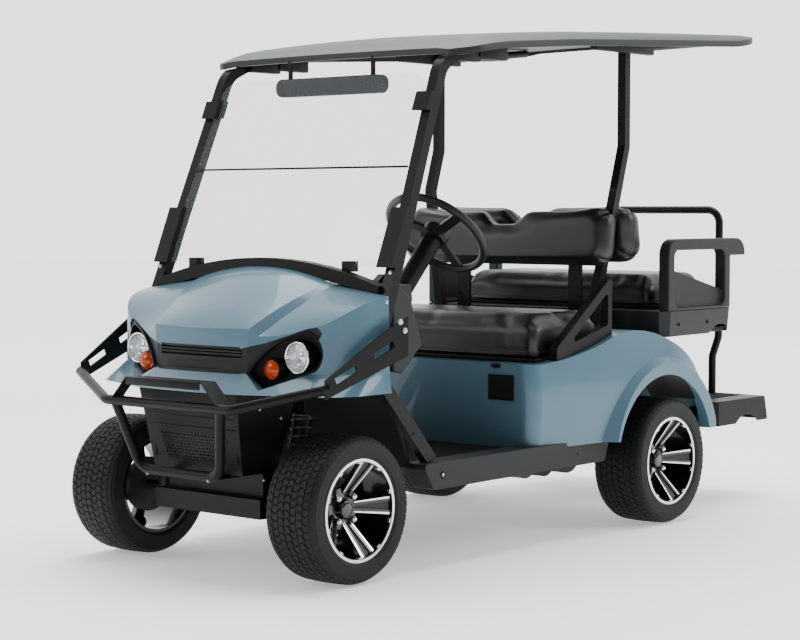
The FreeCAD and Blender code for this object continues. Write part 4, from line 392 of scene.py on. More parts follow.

# %% [markdown]
# A few finishes are only for the added pieces: bright machined aluminium on the wheels, chrome on
# lamps and nuts, the silver bowl of a reflector, sewing thread, dark wire, and near-black painted shade for
# slots.

# %% Finishes for the added pieces
finishes["machined"] = finish("machined_aluminium", (0.82, 0.83, 0.84), 0.2, metal=1.0, grain=900,
                              bump=0.05, vary=0.03)
finishes["chrome"] = finish("chrome_plate", (0.86, 0.87, 0.88), 0.08, metal=1.0, grain=500, vary=0.02)
finishes["reflector"] = finish("reflector_silver", (0.8, 0.82, 0.84), 0.12, metal=1.0, grain=300, vary=0.04)
finishes["web"] = finish("cast_web", (0.035, 0.036, 0.038), 0.42, metal=0.3, grain=1600, bump=0.6, vary=0.1)
finishes["thread"] = finish("welt_vinyl", (0.022, 0.022, 0.023), 0.38, coat=0.1, grain=2500, bump=0.4)
finishes["screen_wire"] = finish("screen_wire", (0.02, 0.02, 0.021), 0.4, metal=0.2, coat=0.1, grain=1800,
                                 bump=0.1)
# Near-black rough paint that stands in for the shade inside an opening: painted shade.
finishes["gap"] = finish("shadow_gap", (0.004, 0.004, 0.004), 0.9)
print("finishes now:", len(finishes))

# %% [markdown]
# ## Tyres
# The solids carry plain rings for tyres. The real ones are wide and low, with a smooth sidewall and
# a tread of narrow zigzag ribs. A carcass is turned from one profile by spin. One chevron block of
# each rib is drawn with six corners on the crown of the tread, pulled inwards to give it depth, and
# spun round as copies, so that 60 small blocks make a whole rib.

# %% Carcass profile
wheel_height = 0.2344
# Each wheel: its place across and along, and the side it is on.
wheels = {}
for axle, track_half, station in (("front", 0.454, 0), ("rear", 0.524, wheelbase)):
    for side, sign in (("left", 1), ("right", -1)):
        wheels[axle + "_" + side] = (sign * track_half, at(0, station, 0).y, sign)
half_profile = [(0.0885, 0.1585), (0.0945, 0.1605), (0.0985, 0.166), (0.1005, 0.172), (0.1022, 0.1735),
                (0.1022, 0.1765), (0.1012, 0.178), (0.1024, 0.190), (0.1024, 0.199), (0.1008, 0.209),
                (0.1012, 0.2105), (0.1000, 0.2135), (0.0985, 0.2145), (0.0955, 0.2200), (0.0895, 0.2255),
                (0.0800, 0.2278), (0.0500, 0.2292), (0.0, 0.2298)]
inner_profile = [(0.0, 0.2180), (0.0600, 0.2165), (0.0860, 0.2080), (0.0900, 0.1880), (0.0860, 0.1680)]
print("profile corners:", len(half_profile))


# %% Tread blocks
pitch_count = 60
block_share, block_depth = 0.80, 0.006
flat_reach, flat_drop, shoulder_slope = 0.080, 0.0026, 0.62


def crown(offset):
    """The tread's radius at a distance from the wheel's middle plane."""
    offset = abs(offset)
    if offset < flat_reach:
        return wheel_height - flat_drop * (offset / flat_reach) ** 2
    return wheel_height - flat_drop - (offset - flat_reach) * shoulder_slope


def add_block_row(work, middle, half_width, lean):
    """One rib: a chevron block spun round the wheel as copies."""
    half_arc = math.pi / pitch_count * block_share
    corners = [(-half_width, -half_arc), (0, -half_arc + lean), (half_width, -half_arc),
               (half_width, half_arc), (0, half_arc + lean), (-half_width, half_arc)]
    top = []
    for across, turn in corners:
        radius = crown(middle + across)
        top.append(work.verts.new((middle + across, -radius * math.cos(turn), radius * math.sin(turn))))
    face = work.faces.new(top)
    sides = bmesh.ops.extrude_face_region(work, geom=[face])
    lifted = [part for part in sides["geom"] if isinstance(part, bmesh.types.BMVert)]
    for vert in lifted:
        vert.co.yz = vert.co.yz * (1 - block_depth / vert.co.yz.length)
    block = list({part for vert in top + lifted for part in (vert, *vert.link_edges, *vert.link_faces)})
    bmesh.ops.spin(work, geom=block, cent=origin, axis=axle_way, use_duplicate=True,
                   angle=2 * math.pi * (pitch_count - 1) / pitch_count, steps=pitch_count - 1)


# Each rib: distance from the middle plane, half its width, and how far its chevron leads, in radians.
ribs = [(0.0925, 0.0055, 0.012), (0.0745, 0.0100, -0.040), (0.0500, 0.0108, 0.040),
        (0.0255, 0.0108, -0.040), (0.0, 0.0108, 0.040)]
print("ribs across the tread:", 2 * len(ribs) - 1)

# %% Build the four tyres
for name, (x, y, _) in wheels.items():
    work = bmesh.new()
    outer = half_profile + [(-offset, radius) for offset, radius in reversed(half_profile[:-1])]
    inner = [(-offset, radius) for offset, radius in reversed(inner_profile[1:])] + inner_profile
    ring = outer + inner + outer[:1]
    add_turned(work, origin, axle_way, ring, steps=96)
    bmesh.ops.recalc_face_normals(work, faces=work.faces)
    for middle, half_width, lean in ribs:
        for sign in ((1, -1) if middle else (1,)):
            add_block_row(work, sign * middle, half_width, sign * lean)
    bmesh.ops.transform(work, matrix=Matrix.Translation((x, y, wheel_height)), verts=work.verts)
    tyre = keep("tread_tyre_" + name, work, "tyre", crisp=28, body=name + "_wheel")
    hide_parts("tyre_" + name)
    print(tyre.name, "faces:", len(tyre.data.polygons))

# %% [markdown]
# ## Wheels
# The cast wheels stay as solids, painted black. Their machined faces are bright: a ring round the
# lip with small tabs, and a thin line along each blade of the five twin spokes. Strips laid on the
# painted blades show that far better than a colour border, and the darker, rougher web fills each
# pair. Four chrome nuts hold each wheel.

# %% Bright lips, spokes, webs and nuts
spoke_count = 5
root_radius, tip_radius = 0.050, 0.1535
face_root, face_tip = Vector((0.044, 0.020)), Vector((0.1545, 0.087))
web_root = 0.058
strip_lift, strip_thickness = 0.0012, 0.004
web_sink, web_thickness = 0.006, 0.012
nut_count, nut_circle = 4, 0.0508


def spoke_point(radius, lateral, lift):
    """A place above a spoke's sloping face, for a spoke that points straight up."""
    share = (radius - face_root.x) / (face_tip.x - face_root.x)
    return Vector((face_root.y + (face_tip.y - face_root.y) * share + lift, lateral, radius))


def add_strip(work, corners, thickness):
    """A thin four-sided strip, pulled inwards from its face."""
    verts = [work.verts.new(corner) for corner in corners]
    face = work.faces.new(verts)
    pulled = bmesh.ops.extrude_face_region(work, geom=[face])
    bmesh.ops.translate(work, vec=(-thickness, 0, 0),
                        verts=[part for part in pulled["geom"] if isinstance(part, bmesh.types.BMVert)])


def turn_copies(work, count):
    """Copies all that a bmesh holds round the wheel's axle."""
    bmesh.ops.spin(work, geom=list(work.verts) + list(work.edges) + list(work.faces), cent=origin,
                   axis=axle_way, use_duplicate=True, steps=count - 1,
                   angle=-2 * math.pi * (count - 1) / count)


def keep_on_wheel(label, work, wheel, slot, paint):
    """Mirrors a left wheel's shape for the right side, moves it to its hub and keeps it."""
    x, y, sign = wheels[wheel]
    matrix = Matrix.Translation((x, y, wheel_height)) @ Matrix.Diagonal((sign, 1, 1, 1))
    bmesh.ops.transform(work, matrix=matrix, verts=work.verts)
    keep(label + wheel, work, slot, paint, body=wheel + "_wheel")


quarter_turn = Matrix.Rotation(math.radians(-90), 4, "X")
lip_profile = [(0.0880, 0.1530), (0.0948, 0.1530), (0.0962, 0.1545), (0.0962, 0.1595), (0.0956, 0.1604),
               (0.0956, 0.1640), (0.0962, 0.1650), (0.0960, 0.1692), (0.0930, 0.1700), (0.0880, 0.1700),
               (0.0880, 0.1530)]
cap_profile = [(0.034, 0.0), (0.0425, 0.0), (0.0425, 0.016), (0.0415, 0.0225), (0.0395, 0.0265),
               (0.0300, 0.0310), (0.0205, 0.0345)]
for wheel in wheels:
    work = bmesh.new()
    for sign in (-1, 1):
        corners = ((root_radius, 0.0135), (tip_radius, 0.0225), (tip_radius, 0.0292), (root_radius, 0.0172))
        add_strip(work, [spoke_point(radius, sign * lateral, strip_lift) for radius, lateral in corners],
                  strip_thickness)
    bmesh.ops.transform(work, matrix=quarter_turn, verts=work.verts)
    turn_copies(work, spoke_count)
    tabs = bmesh.new()
    add_block(tabs, (0.0850, -0.0075, 0.1465), (0.0945, 0.0075, 0.1560), round_by=0.0012)
    turn_copies(tabs, 2 * spoke_count)
    bmesh.ops.transform(tabs, matrix=Matrix.Rotation(math.radians(-72), 4, "X"), verts=tabs.verts)
    extra = bpy.data.meshes.new("tabs")
    tabs.to_mesh(extra)
    tabs.free()
    work.from_mesh(extra)
    bpy.data.meshes.remove(extra)
    add_turned(work, origin, axle_way, lip_profile, steps=96)
    keep_on_wheel("bright_lip_", work, wheel, "steel", "machined")

    work = bmesh.new()
    corners = ((web_root, -0.0125), (tip_radius, -0.0215), (tip_radius, 0.0215), (web_root, 0.0125))
    add_strip(work, [spoke_point(radius, lateral, -web_sink) for radius, lateral in corners], web_thickness)
    bmesh.ops.transform(work, matrix=quarter_turn, verts=work.verts)
    turn_copies(work, spoke_count)
    keep_on_wheel("spoke_web_", work, wheel, "black_rim", "web")

    work = bmesh.new()
    for index in range(nut_count):
        turn = math.radians(45 + 90 * index)
        foot = Vector((0.034, nut_circle * math.cos(turn), nut_circle * math.sin(turn)))
        outwards = Vector(axle_way)
        add_rod(work, foot - outwards * 0.012, foot + outwards * 0.006, 0.0105, tip=0.0095, sides=6,
                round_by=0.001)
        add_rod(work, foot + outwards * 0.005, foot + outwards * 0.010, 0.0075, tip=0.0045, sides=16)
    keep_on_wheel("wheel_nuts_", work, wheel, "steel", "chrome")

    work = bmesh.new()
    add_turned(work, origin, axle_way, cap_profile)
    keep_on_wheel("centre_cap_", work, wheel, "black_rim", "black_rim")
print("wheels dressed:", len(wheels))

# %% [markdown]
# ## Head lamps
# Each eye holds a round head lamp and a smaller amber one, both facing straight ahead. The solids
# are plain drums. The dressed lamp is a black cup, a reflector turned in few steps so that it keeps
# its facets, a hooded bulb, a chrome ring and a clear domed cover.

# %% Head lamps and turn lamps
ahead = Vector((0, -1, 0))
lamp_cup = [(-0.001, 0.0500), (-0.001, 0.0470), (-0.050, 0.0300), (-0.062, 0.0), (-0.0695, 0.0),
            (-0.0695, 0.0400), (-0.050, 0.0500), (-0.001, 0.0500)]
lamp_bowl = [(-0.004, 0.0462), (-0.014, 0.0425), (-0.026, 0.0360), (-0.036, 0.0280), (-0.044, 0.0160),
             (-0.046, 0.0)]
lamp_hood = [(-0.016, 0.0), (-0.0165, 0.0120), (-0.0195, 0.0165), (-0.026, 0.0180), (-0.043, 0.0150)]
blinker_cup = [(-0.001, 0.0330), (-0.001, 0.0310), (-0.030, 0.0220), (-0.040, 0.0), (-0.0575, 0.0),
               (-0.0575, 0.0260), (-0.030, 0.0330), (-0.001, 0.0330)]
blinker_bulb = [(-0.006, 0.0), (-0.008, 0.0080), (-0.016, 0.0100), (-0.034, 0.0085)]
blinker_bowl = [(-0.003, 0.0300), (-0.026, 0.0200), (-0.034, 0.0)]
lens_rings = 3


def add_dome(work, centre, axis, radius, rise, wall):
    """A shallow domed cover: a parabola spun about its axis and given a wall."""
    rings = 7
    parts = [step / rings for step in range(rings + 1)]
    add_turned(work, centre, axis, [(rise * (1 - part * part), radius * part) for part in parts])
    bmesh.ops.solidify(work, geom=list(work.faces), thickness=wall)


for side, sign in (("left", 1), ("right", -1)):
    eye = at(sign * 363, -89.1, 706)
    work = bmesh.new()
    add_turned(work, eye, ahead, lamp_cup)
    cup = keep("head_lamp_cup_" + side, work, "lamp_glass", "black_plastic")
    work = bmesh.new()
    add_turned(work, eye, ahead, lamp_bowl, steps=20)
    keep("head_lamp_bowl_" + side, work, "lamp_glass", "reflector", 4)
    work = bmesh.new()
    add_ring(work, eye - ahead * 0.001, ahead, 0.0480, 0.0030)
    add_ring(work, eye - ahead * 0.016, ahead, 0.0235, 0.0018, sides=8, steps=48)
    add_turned(work, eye, ahead, lamp_hood, steps=32)
    keep("head_lamp_ring_" + side, work, "lamp_glass", "chrome", 40)
    work = bmesh.new()
    add_dome(work, eye - ahead * 0.0015, ahead, 0.0465, 0.0085, 0.0015)
    keep("head_lamp_cover_" + side, work, "lamp_glass", crisp=60)

    blinker = at(sign * 287, -122.9, 667)
    work = bmesh.new()
    add_turned(work, blinker, ahead, blinker_cup)
    keep("turn_lamp_cup_" + side, work, "amber_lens", "black_plastic")
    work = bmesh.new()
    add_dome(work, blinker, ahead, 0.0305, 0.0125, 0.0020)
    for step in range(lens_rings):
        add_ring(work, blinker + ahead * (0.0090 - 0.0030 * step), ahead, 0.0125 + 0.0075 * step, 0.0006,
                 sides=6, steps=48)
    cover = keep("turn_lamp_cover_" + side, work, "amber_lens", crisp=60)
    work = bmesh.new()
    add_turned(work, blinker, ahead, blinker_bulb, steps=24)
    add_turned(work, blinker, ahead, blinker_bowl, steps=16)
    keep("turn_lamp_bulb_" + side, work, "amber_lens", "reflector", 20)
    if side == "left":
        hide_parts("head_lamps")
        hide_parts("turn_lamps")
print("lamps turned: 4")

# %% [markdown]
# ## Front screen
# Behind the guard sits a dark box with a window of fine honeycomb. The solids show the window with
# square bars; a honeycomb of six-sided cells goes over them. The cells start as six-sided discs
# that touch. Each is inset to leave a wire, and the middles are removed.

# %% Honeycomb
screen_low, screen_high = 0.366, 0.450
half_low, half_high = 0.128, 0.152
box_low, box_high = 0.3283, 0.590
box_front, box_lean = 165, 49
cell = 0.0068
cell_width, cell_rise = cell * math.sqrt(3), cell * 1.5
wire_share, wire_thickness = 0.17, 0.0022


def screen_front(z):
    """The front of the dark box at a height, in the shared frame."""
    share = (z - box_low) / (box_high - box_low)
    return at(0, -box_front - box_lean * share, 0).y


work = bmesh.new()
upright = Matrix.Rotation(math.pi / 2, 4, "X")
for row in range(int((screen_high - screen_low) / cell_rise) + 2):
    z = screen_low - cell * 0.2 + row * cell_rise
    if not screen_low < z < screen_high:
        continue
    half = half_low + (half_high - half_low) * (z - screen_low) / (screen_high - screen_low)
    count = int(half / cell_width)
    for column in range(-count, count + 1):
        x = (column + 0.5 * (row % 2)) * cell_width
        if abs(x) <= half:
            place = Matrix.Translation((x, screen_front(z) - wire_thickness, z))
            bmesh.ops.create_circle(work, cap_ends=True, segments=6, radius=cell, matrix=place @ upright)
bmesh.ops.remove_doubles(work, verts=work.verts, dist=0.0004)
bmesh.ops.inset_individual(work, faces=list(work.faces), thickness=cell * wire_share,
                           use_even_offset=True)
middles = [face for face in work.faces if len(face.verts) == 6]
bmesh.ops.delete(work, geom=middles, context="FACES")
bmesh.ops.solidify(work, geom=list(work.faces), thickness=wire_thickness)
screen = keep("front_honeycomb", work, "black_plastic", "screen_wire")
print("honeycomb faces:", len(screen.data.polygons))

# %% [markdown]
# ## Springs
# The dampers carry coil springs. A coil is a small circle spun about the damper's line while it
# climbs: the spin operator takes a step along the axis for every step round it. The solid inside
# is the spring's room, painted dark, so that only the wire catches the light.

# %% Coil springs
spring_turns = 7
steps_a_turn = 24
coil_radius, wire_radius = 0.0305, 0.0052
coil_starts, coil_share = 0.21, 0.57
for side, sign in (("left", 1), ("right", -1)):
    foot, top = at(sign * 250, 0, 240), at(sign * 250, 75, 572)
    run = top - foot
    axis = run.normalized()
    work = bmesh.new()
    out = Vector((sign, 0, 0))
    start = foot + run * coil_starts
    basis = Matrix((out, axis, out.cross(axis))).transposed().to_4x4()
    ring = bmesh.ops.create_circle(work, segments=8, radius=wire_radius,
                                   matrix=Matrix.Translation(start + out * coil_radius) @ basis)["verts"]
    edges = list({edge for vert in ring for edge in vert.link_edges})
    total = spring_turns * steps_a_turn
    climb = axis * (run.length * coil_share / total)
    bmesh.ops.spin(work, geom=ring + edges, cent=start, axis=axis, dvec=climb,
                   angle=2 * math.pi * spring_turns, steps=total)
    for share in (0.2, 0.8):
        add_ring(work, foot + run * share, axis, 0.028, 0.006, sides=10, steps=40)
    keep("coil_spring_" + side, work, "steel", "motor_paint", 50)
print("turns per spring:", spring_turns)

# %% [markdown]
# ## Cushions
# Two benches and two seat backs are foam under black vinyl. Each starts from a copy of its solid,
# merged and drawn in a little, then filled with an even skin of small faces by the voxel remesher.
# Blender's cloth blows it up gently from inside with gravity off, which crowns the broad faces and
# pulls the sides in. No point may move more than a cap or pass the ends of its solid, and a bench's
# foot stays flat on its board. One subdivision smooths the result.

# %% Skin, bake and round a cushion
voxel = 0.009
draw_in = 0.004
last_frame = 20
air_pressure = 4.0
keep_clear = 0.0006


def skin_of(node):
    """A merged copy of a solid's mesh, drawn inwards by a few millimetres, with its room."""
    work = bmesh.new()
    work.from_mesh(nodes[node].data)
    bmesh.ops.remove_doubles(work, verts=work.verts, dist=1e-5)
    low, high = (Vector(corner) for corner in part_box(node))
    centre = (low + high) / 2
    size = high - low
    scale = Matrix.Diagonal((*[(part - 2 * draw_in) / part for part in size], 1))
    matrix = Matrix.Translation(centre) @ scale @ Matrix.Translation(-centre)
    bmesh.ops.transform(work, matrix=matrix, verts=work.verts)
    mesh = bpy.data.meshes.new("skin")
    work.to_mesh(mesh)
    work.free()
    return mesh, low, high


def baked(thing):
    """The mesh of an object with its modifiers worked in."""
    graph = bpy.context.evaluated_depsgraph_get()
    graph.update()
    return bpy.data.meshes.new_from_object(thing.evaluated_get(graph))


def relaxed(thing, rounds):
    """Gives an object its modified mesh, smoothed a number of times."""
    relax = thing.modifiers.new("relax", "SMOOTH")
    relax.factor = 0.5
    relax.iterations = rounds
    thing.data = baked(thing)
    thing.modifiers.clear()


def round_corners(mesh, axes, low, high, radius, above=-math.inf):
    """Rounds a cushion's corners, seen along the third axis, by drawing a square onto a circle."""
    for vert in mesh.vertices:
        if vert.co.z < above:
            continue
        centre = [min(max(vert.co[axis], low[axis] + radius), high[axis] - radius) for axis in axes]
        reach = [vert.co[axis] - middle for axis, middle in zip(axes, centre)]
        if all(abs(part) > 1e-6 for part in reach):
            share = max(abs(part) for part in reach) / math.hypot(*reach)
            for axis, middle, part in zip(axes, centre, reach):
                vert.co[axis] = middle + part * share


print("cushion helpers ready")


# %% Swell a cushion
def inflate(thing):
    """Runs the cloth with air inside and no gravity, and gives the object its last frame."""
    cloth = thing.modifiers.new("cloth", "CLOTH")
    cloth.settings.quality = 4
    cloth.settings.mass = 0.3
    cloth.settings.tension_stiffness = 22
    cloth.settings.compression_stiffness = 22
    cloth.settings.shear_stiffness = 12
    cloth.settings.bending_stiffness = 1.2
    cloth.settings.use_pressure = True
    cloth.settings.uniform_pressure_force = air_pressure
    cloth.settings.effector_weights.gravity = 0
    cloth.collision_settings.use_collision = False
    cloth.point_cache.frame_start = 1
    cloth.point_cache.frame_end = last_frame
    for number in range(1, last_frame + 1):
        bpy.context.scene.frame_set(number)
    thing.data = baked(thing)
    thing.modifiers.clear()
    bpy.context.scene.frame_set(1)


def swell(name, node, body, corner, cap=0.016, view=(0, 1), flat_below=None):
    """A cushion in the room of its solid. view names the two axes in which its corners are round."""
    mesh, low, high = skin_of(node)
    thing = placed(name, mesh)
    remesh = thing.modifiers.new("skin", "REMESH")
    remesh.mode = "VOXEL"
    remesh.voxel_size = voxel
    relaxed(thing, 8)
    inset = Vector((draw_in,) * 3)
    round_corners(thing.data, view, low + inset, high - inset, corner)
    if flat_below is not None:
        middle = (low.z + high.z) / 2
        round_corners(thing.data, (1, 2), low + inset, high - inset, 0.052, above=middle)
        round_corners(thing.data, (0, 2), low + inset, high - inset, 0.040, above=middle)
    start = [vert.co.copy() for vert in thing.data.vertices]
    inflate(thing)
    for vert, before in zip(thing.data.vertices, start):
        move = vert.co - before
        if move.length > cap:
            vert.co = before + move * (cap / move.length)
        if flat_below is not None and before.z < flat_below:
            vert.co = before
        vert.co.x = min(max(vert.co.x, low.x + keep_clear), high.x - keep_clear)
        if flat_below is not None:
            vert.co.y = min(max(vert.co.y, low.y + keep_clear), high.y - keep_clear)
    relaxed(thing, 12)
    smooth = thing.modifiers.new("smooth", "SUBSURF")
    smooth.levels = 1
    smooth.render_levels = 1
    thing.data.shade_smooth()
    thing.data.materials.clear()
    thing.data.materials.append(finishes["black_vinyl"])
    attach(thing, body)
    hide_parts(node)
    print(name, "points:", len(thing.data.vertices))
    return thing


front_cushion = swell("front_bench_cushion", "bench_cushion", "front_bench", 0.035, 0.022, flat_below=0.655)
rear_cushion = swell("rear_bench_cushion", "rear_cushion", "rear_bench", 0.035, 0.022, flat_below=0.810)
front_back = swell("front_back_cushion", "front_seat_back", "chassis", 0.075, view=(0, 2))
rear_back = swell("rear_back_cushion", "rear_seat_back", "chassis", 0.075, view=(0, 2))

# %% [markdown]
# A welt, the thin sewn roll that hides a seam, runs round each cushion. The cushion itself gives its
# line: a copy is cut by a plane with bisect, both halves are thrown away, and the loop that is left
# becomes a tube.

# %% Welts
welt_radius = 0.0022
back_height, back_slope = 1.06, (0, 1, -0.11)


def welt(name, cushion, body, place, normal):
    """A thin roll along the line where a plane cuts a cushion."""
    work = bmesh.new()
    work.from_mesh(cushion.data)
    everything = list(work.verts) + list(work.edges) + list(work.faces)
    bmesh.ops.bisect_plane(work, geom=everything, dist=1e-6, plane_co=Vector(place),
                           plane_no=Vector(normal), clear_inner=True, clear_outer=True)
    bmesh.ops.remove_doubles(work, verts=work.verts, dist=0.004)
    loops, visited = [], set()
    for first in work.verts:
        if first in visited or len(first.link_edges) != 2:
            continue
        loop, vert, edge = [], first, first.link_edges[0]
        while vert not in visited:
            visited.add(vert)
            loop.append(vert.co.copy())
            vert = edge.other_vert(vert)
            following = [other for other in vert.link_edges if other != edge]
            if not following:
                break
            edge = following[0]
        loops.append(loop)
    work.free()
    longest = max(loops, key=len)
    line = bpy.data.curves.new(name, "CURVE")
    line.dimensions = "3D"
    line.bevel_depth = welt_radius
    line.bevel_resolution = 1
    spline = line.splines.new("POLY")
    spline.points.add(len(longest) - 1)
    for point, place_now in zip(spline.points, longest):
        point.co = (*place_now, 1)
    spline.use_cyclic_u = True
    carrier = bpy.data.objects.new(name + "_line", line)
    mesh = bpy.data.meshes.new_from_object(carrier)
    bpy.data.objects.remove(carrier)
    work = bmesh.new()
    work.from_mesh(mesh)
    bpy.data.meshes.remove(mesh)
    keep(name, work, "black_vinyl", "thread", 60, body=body)


for name, cushion, node, shift in (("front_back_welt", front_back, "front_seat_back", 0.016),
                                   ("rear_back_welt", rear_back, "rear_seat_back", -0.016)):
    low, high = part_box(node)
    welt(name, cushion, "chassis", (0, (low[1] + high[1]) / 2 + shift, back_height), back_slope)
welt("front_bench_welt", front_cushion, "front_bench", (0, 0, 0.668), (0, 0, 1))
welt("rear_bench_welt", rear_cushion, "rear_bench", (0, 0, 0.822), (0, 0, 1))
print("welts sewn: 4")

# %% [markdown]
# ## Bolts and small fittings
# Small fittings have to sit on what carries them. A ray finds the place: from the camera through a
# spot of the picture, or from a known place beside or behind it, and the surface that it meets
# gives both the point and the way the fitting faces. Its twin on the other side is mirrored.

# %% Feel for a surface
graph = bpy.context.evaluated_depsgraph_get()
see_through = {"windshield"}
panes_on_a_ray = 12
picture_middle = (400, 320)
dash_limit, nose_limit = -0.70, -0.9


def touch(start, way):
    """The first surface on a ray: its point and the way it faces."""
    start, way = Vector(start), Vector(way).normalized()
    for _ in range(panes_on_a_ray):
        hit, point, normal, _, thing, _ = bpy.context.scene.ray_cast(graph, start, way)
        if not hit:
            return None, None
        if thing.name not in see_through:
            return point, normal if normal.dot(way) < 0 else -normal
        start = point + way * 0.001
    return None, None


def seen(across, down):
    """The surface behind a spot of the 800 x 640 picture."""
    turn = camera.rotation_euler.to_matrix()
    pixel = camera_data.sensor_width / camera_data.lens / (2 * picture_middle[0])
    ray = Vector(((across - picture_middle[0]) * pixel, (picture_middle[1] - down) * pixel, -1))
    return touch(camera_place, turn @ ray)


def mirrored_pair(place, out):
    """A place and its way out, on both sides of the cart."""
    return [(place, out), (Vector((-place.x, place.y, place.z)), Vector((-out.x, out.y, out.z)))]


print("the camera's middle meets", [round(part, 2) for part in seen(*picture_middle)[0]])

# %% Bolts on plates, pillars and braces
plate_out = Vector((0.992, -0.129, 0))
plate_front, plate_run = Vector((560, -172, 622)), Vector((44, 337, 148))
# Share of the plate's length, millimetres above its line, and whether the bolt is bright.
plate_bolts = ((0.04, 2, False), (0.955, 26, True), (0.90, 62, True))
# Spots of the picture: across, down, the bolt's size, and whether it is bright.
bolt_spots = [(414.8, 407.2, 0.0075, True), (414.8, 396.5, 0.0050, True), (390.7, 272.4, 0.0055, True),
              (386.5, 302.0, 0.0050, True), (579.7, 297.0, 0.0055, False), (413.9, 433.7, 0.0040, False)]
bright = bmesh.new()
dark = bmesh.new()
for share, lift, shiny in plate_bolts:
    spot = at(*(plate_front + plate_run * share + Vector((0, 0, lift))))
    for place, out in mirrored_pair(spot, plate_out):
        add_bolt(bright if shiny else dark, place, out, 0.0070)
for across, down, size, shiny in bolt_spots:
    place, out = seen(across, down)
    if place is None or place.x < 0.2:
        continue
    for spot, way in mirrored_pair(place, out):
        add_bolt(bright if shiny else dark, spot, way, size)
for sign in (1, -1):
    for y, z in ((2010, 735), (1790, 735)):
        place, out = touch(at(sign * 800, y, z), (-sign, 0, 0))
        if place is not None and abs(place.x) > 0.45:
            add_bolt(dark, place, out, 0.0055)
keep("bright_bolts", bright, "steel")
keep("dark_bolts", dark, "frame_steel")
print("bolts seated")

# %% Sill recess, latch, rear strap
sill_face = 560
work = bmesh.new()
shine = bmesh.new()
for sign in (1, -1):
    spot = at(sign * sill_face, 393, 308)
    out = Vector((sign, 0, 0))
    add_ring(work, spot, out, 0.0105, 0.0022, sides=10, steps=40)
    add_rod(work, spot - out * 0.004, spot + out * 0.0006, 0.0100, sides=32)
    add_bolt(shine, spot, out, 0.0040)
    for y in (1150, 1331):
        low_spot = at(sign * sill_face, y, 305)
        add_rod(work, low_spot - out * 0.003, low_spot + out * 0.0015, 0.0045, sides=16)
    add_block(work, at(sign * 389 - 19, 889, 617), at(sign * 389 + 19, 902, 633), round_by=0.004)
    low_x, high_x = sorted((sign * 0.520, sign * 0.562))
    add_block(work, (low_x, at(0, 1950, 0).y, 0.300), (high_x, at(0, 1968, 0).y, 0.410), round_by=0.003)
    low_x, high_x = sorted((sign * 0.560, sign * 0.5655))
    add_block(shine, (low_x, at(0, 1944, 0).y, 0.318), (high_x, at(0, 1974, 0).y, 0.425), round_by=0.0015)
keep("sill_and_latch_fittings", work, "black_plastic")
keep("rear_straps", shine, "steel")
print("sill, latch and strap fitted")

# %% Mirror glass and windshield bar
work = bmesh.new()
add_block(work, (-0.228, -0.6445, 1.565), (0.228, -0.6415, 1.609), round_by=0.0014)
keep("mirror_glass", work, "steel", "mirror")
work = bmesh.new()
seam_y = at(0, 302.83, 0).y
add_block(work, (-0.484, seam_y - 0.004, 1.3015), (0.484, seam_y + 0.006, 1.3085), round_by=0.002)
keep("windshield_seam_bar", work, "clear_pane", "black_plastic")
print("mirror and seam bar in place")

# %% Floor ribs and pedal pads
# Each field of ribs: count, first place, step, width, half-length, and the heights of foot and top.
rib_fields = ((26, 392, 19, 6, 440, 339.4, 341.8), (13, 2268, 21, 7, 410, 405.5, 408.0))
floor_ribs = bmesh.new()
for count, first, step, width, half, low, high in rib_fields:
    for y in range(first, first + count * step, step):
        add_block(floor_ribs, at(-half, y, low), at(half, y + width, high))
keep("tread_ribs", floor_ribs, "floor_mat")
pads = bmesh.new()
for x, half in ((150, 0.0336), (360, 0.024)):
    for row in range(4):
        place, _ = touch(at(x, 700, 470 + row * 15), (0, -1, -0.15))
        if place is not None and place.y < dash_limit:
            add_block(pads, place - Vector((half, 0.003, 0.003)), place + Vector((half, 0.004, 0.003)),
                      round_by=0.001)
if pads.verts:
    keep("pedal_pads", pads, "floor_mat")
print("ribs and pads in place")

# %% Steering boss and dash switches
column_way = Vector((0, 0.6938, 0.7201))
hub = at(250, 738, 1085)
boss_profile = [(-0.020, 0.0), (-0.020, 0.0480), (0.004, 0.0500), (0.012, 0.0480), (0.018, 0.0420),
                (0.021, 0.0300), (0.0222, 0.0)]
work = bmesh.new()
add_turned(work, hub, column_way, boss_profile)
add_ring(work, hub + column_way * 0.0185, column_way, 0.0345, 0.0012, sides=6, steps=48)
keep("steering_boss", work, "soft_black", crisp=40, body="steering")
work = bmesh.new()
shine = bmesh.new()
for x, z, size in ((90, 850, 0.016), (40, 850, 0.011), (-60, 850, 0.011)):
    place, out = touch(at(x, 800, z), (0, -1, 0))
    if place is not None and place.y < dash_limit:
        add_rod(work, place - out * 0.002, place + out * 0.004, size, sides=32, round_by=0.001)
        add_rod(shine, place + out * 0.003, place + out * 0.009, size * 0.45, sides=24, round_by=0.001)
place, _ = touch(at(150, 800, 875), (0, -1, 0))
if place is not None and place.y < dash_limit:
    add_block(work, place - Vector((0.050, 0.004, 0.022)), place + Vector((0.050, 0.006, 0.022)),
              round_by=0.003)
if work.verts:
    keep("dash_switches", work, "black_plastic")
    keep("dash_switch_caps", shine, "steel")
print("cockpit fittings in place")

# %% [markdown]
# ## Softer edges
# Moulded and painted shells have no knife edges: light runs along every rim. These solids get a
# dressed copy: its loose triangles are merged, the flat ones are joined, and a narrow bevel rounds
# what is sharper than a set angle. Shallow creases are left to smooth shading.

# %% Refine moulded shells
shell_edges = {"armrests": 0.005, "hip_restraints": 0.006, "rear_tub": 0.0035, "footplate": 0.0030,
               "sills": 0.0025, "dash_side_panels": 0.005, "cowl_trim": 0.0025, "bench_board": 0.0025,
               "front_grille": 0.0, "mirror": 0.0015}
body_of = {node: body for body, members in frame["record"]["behaviour"]["bodies"].items() for node in members}
flat_angle = 0.6


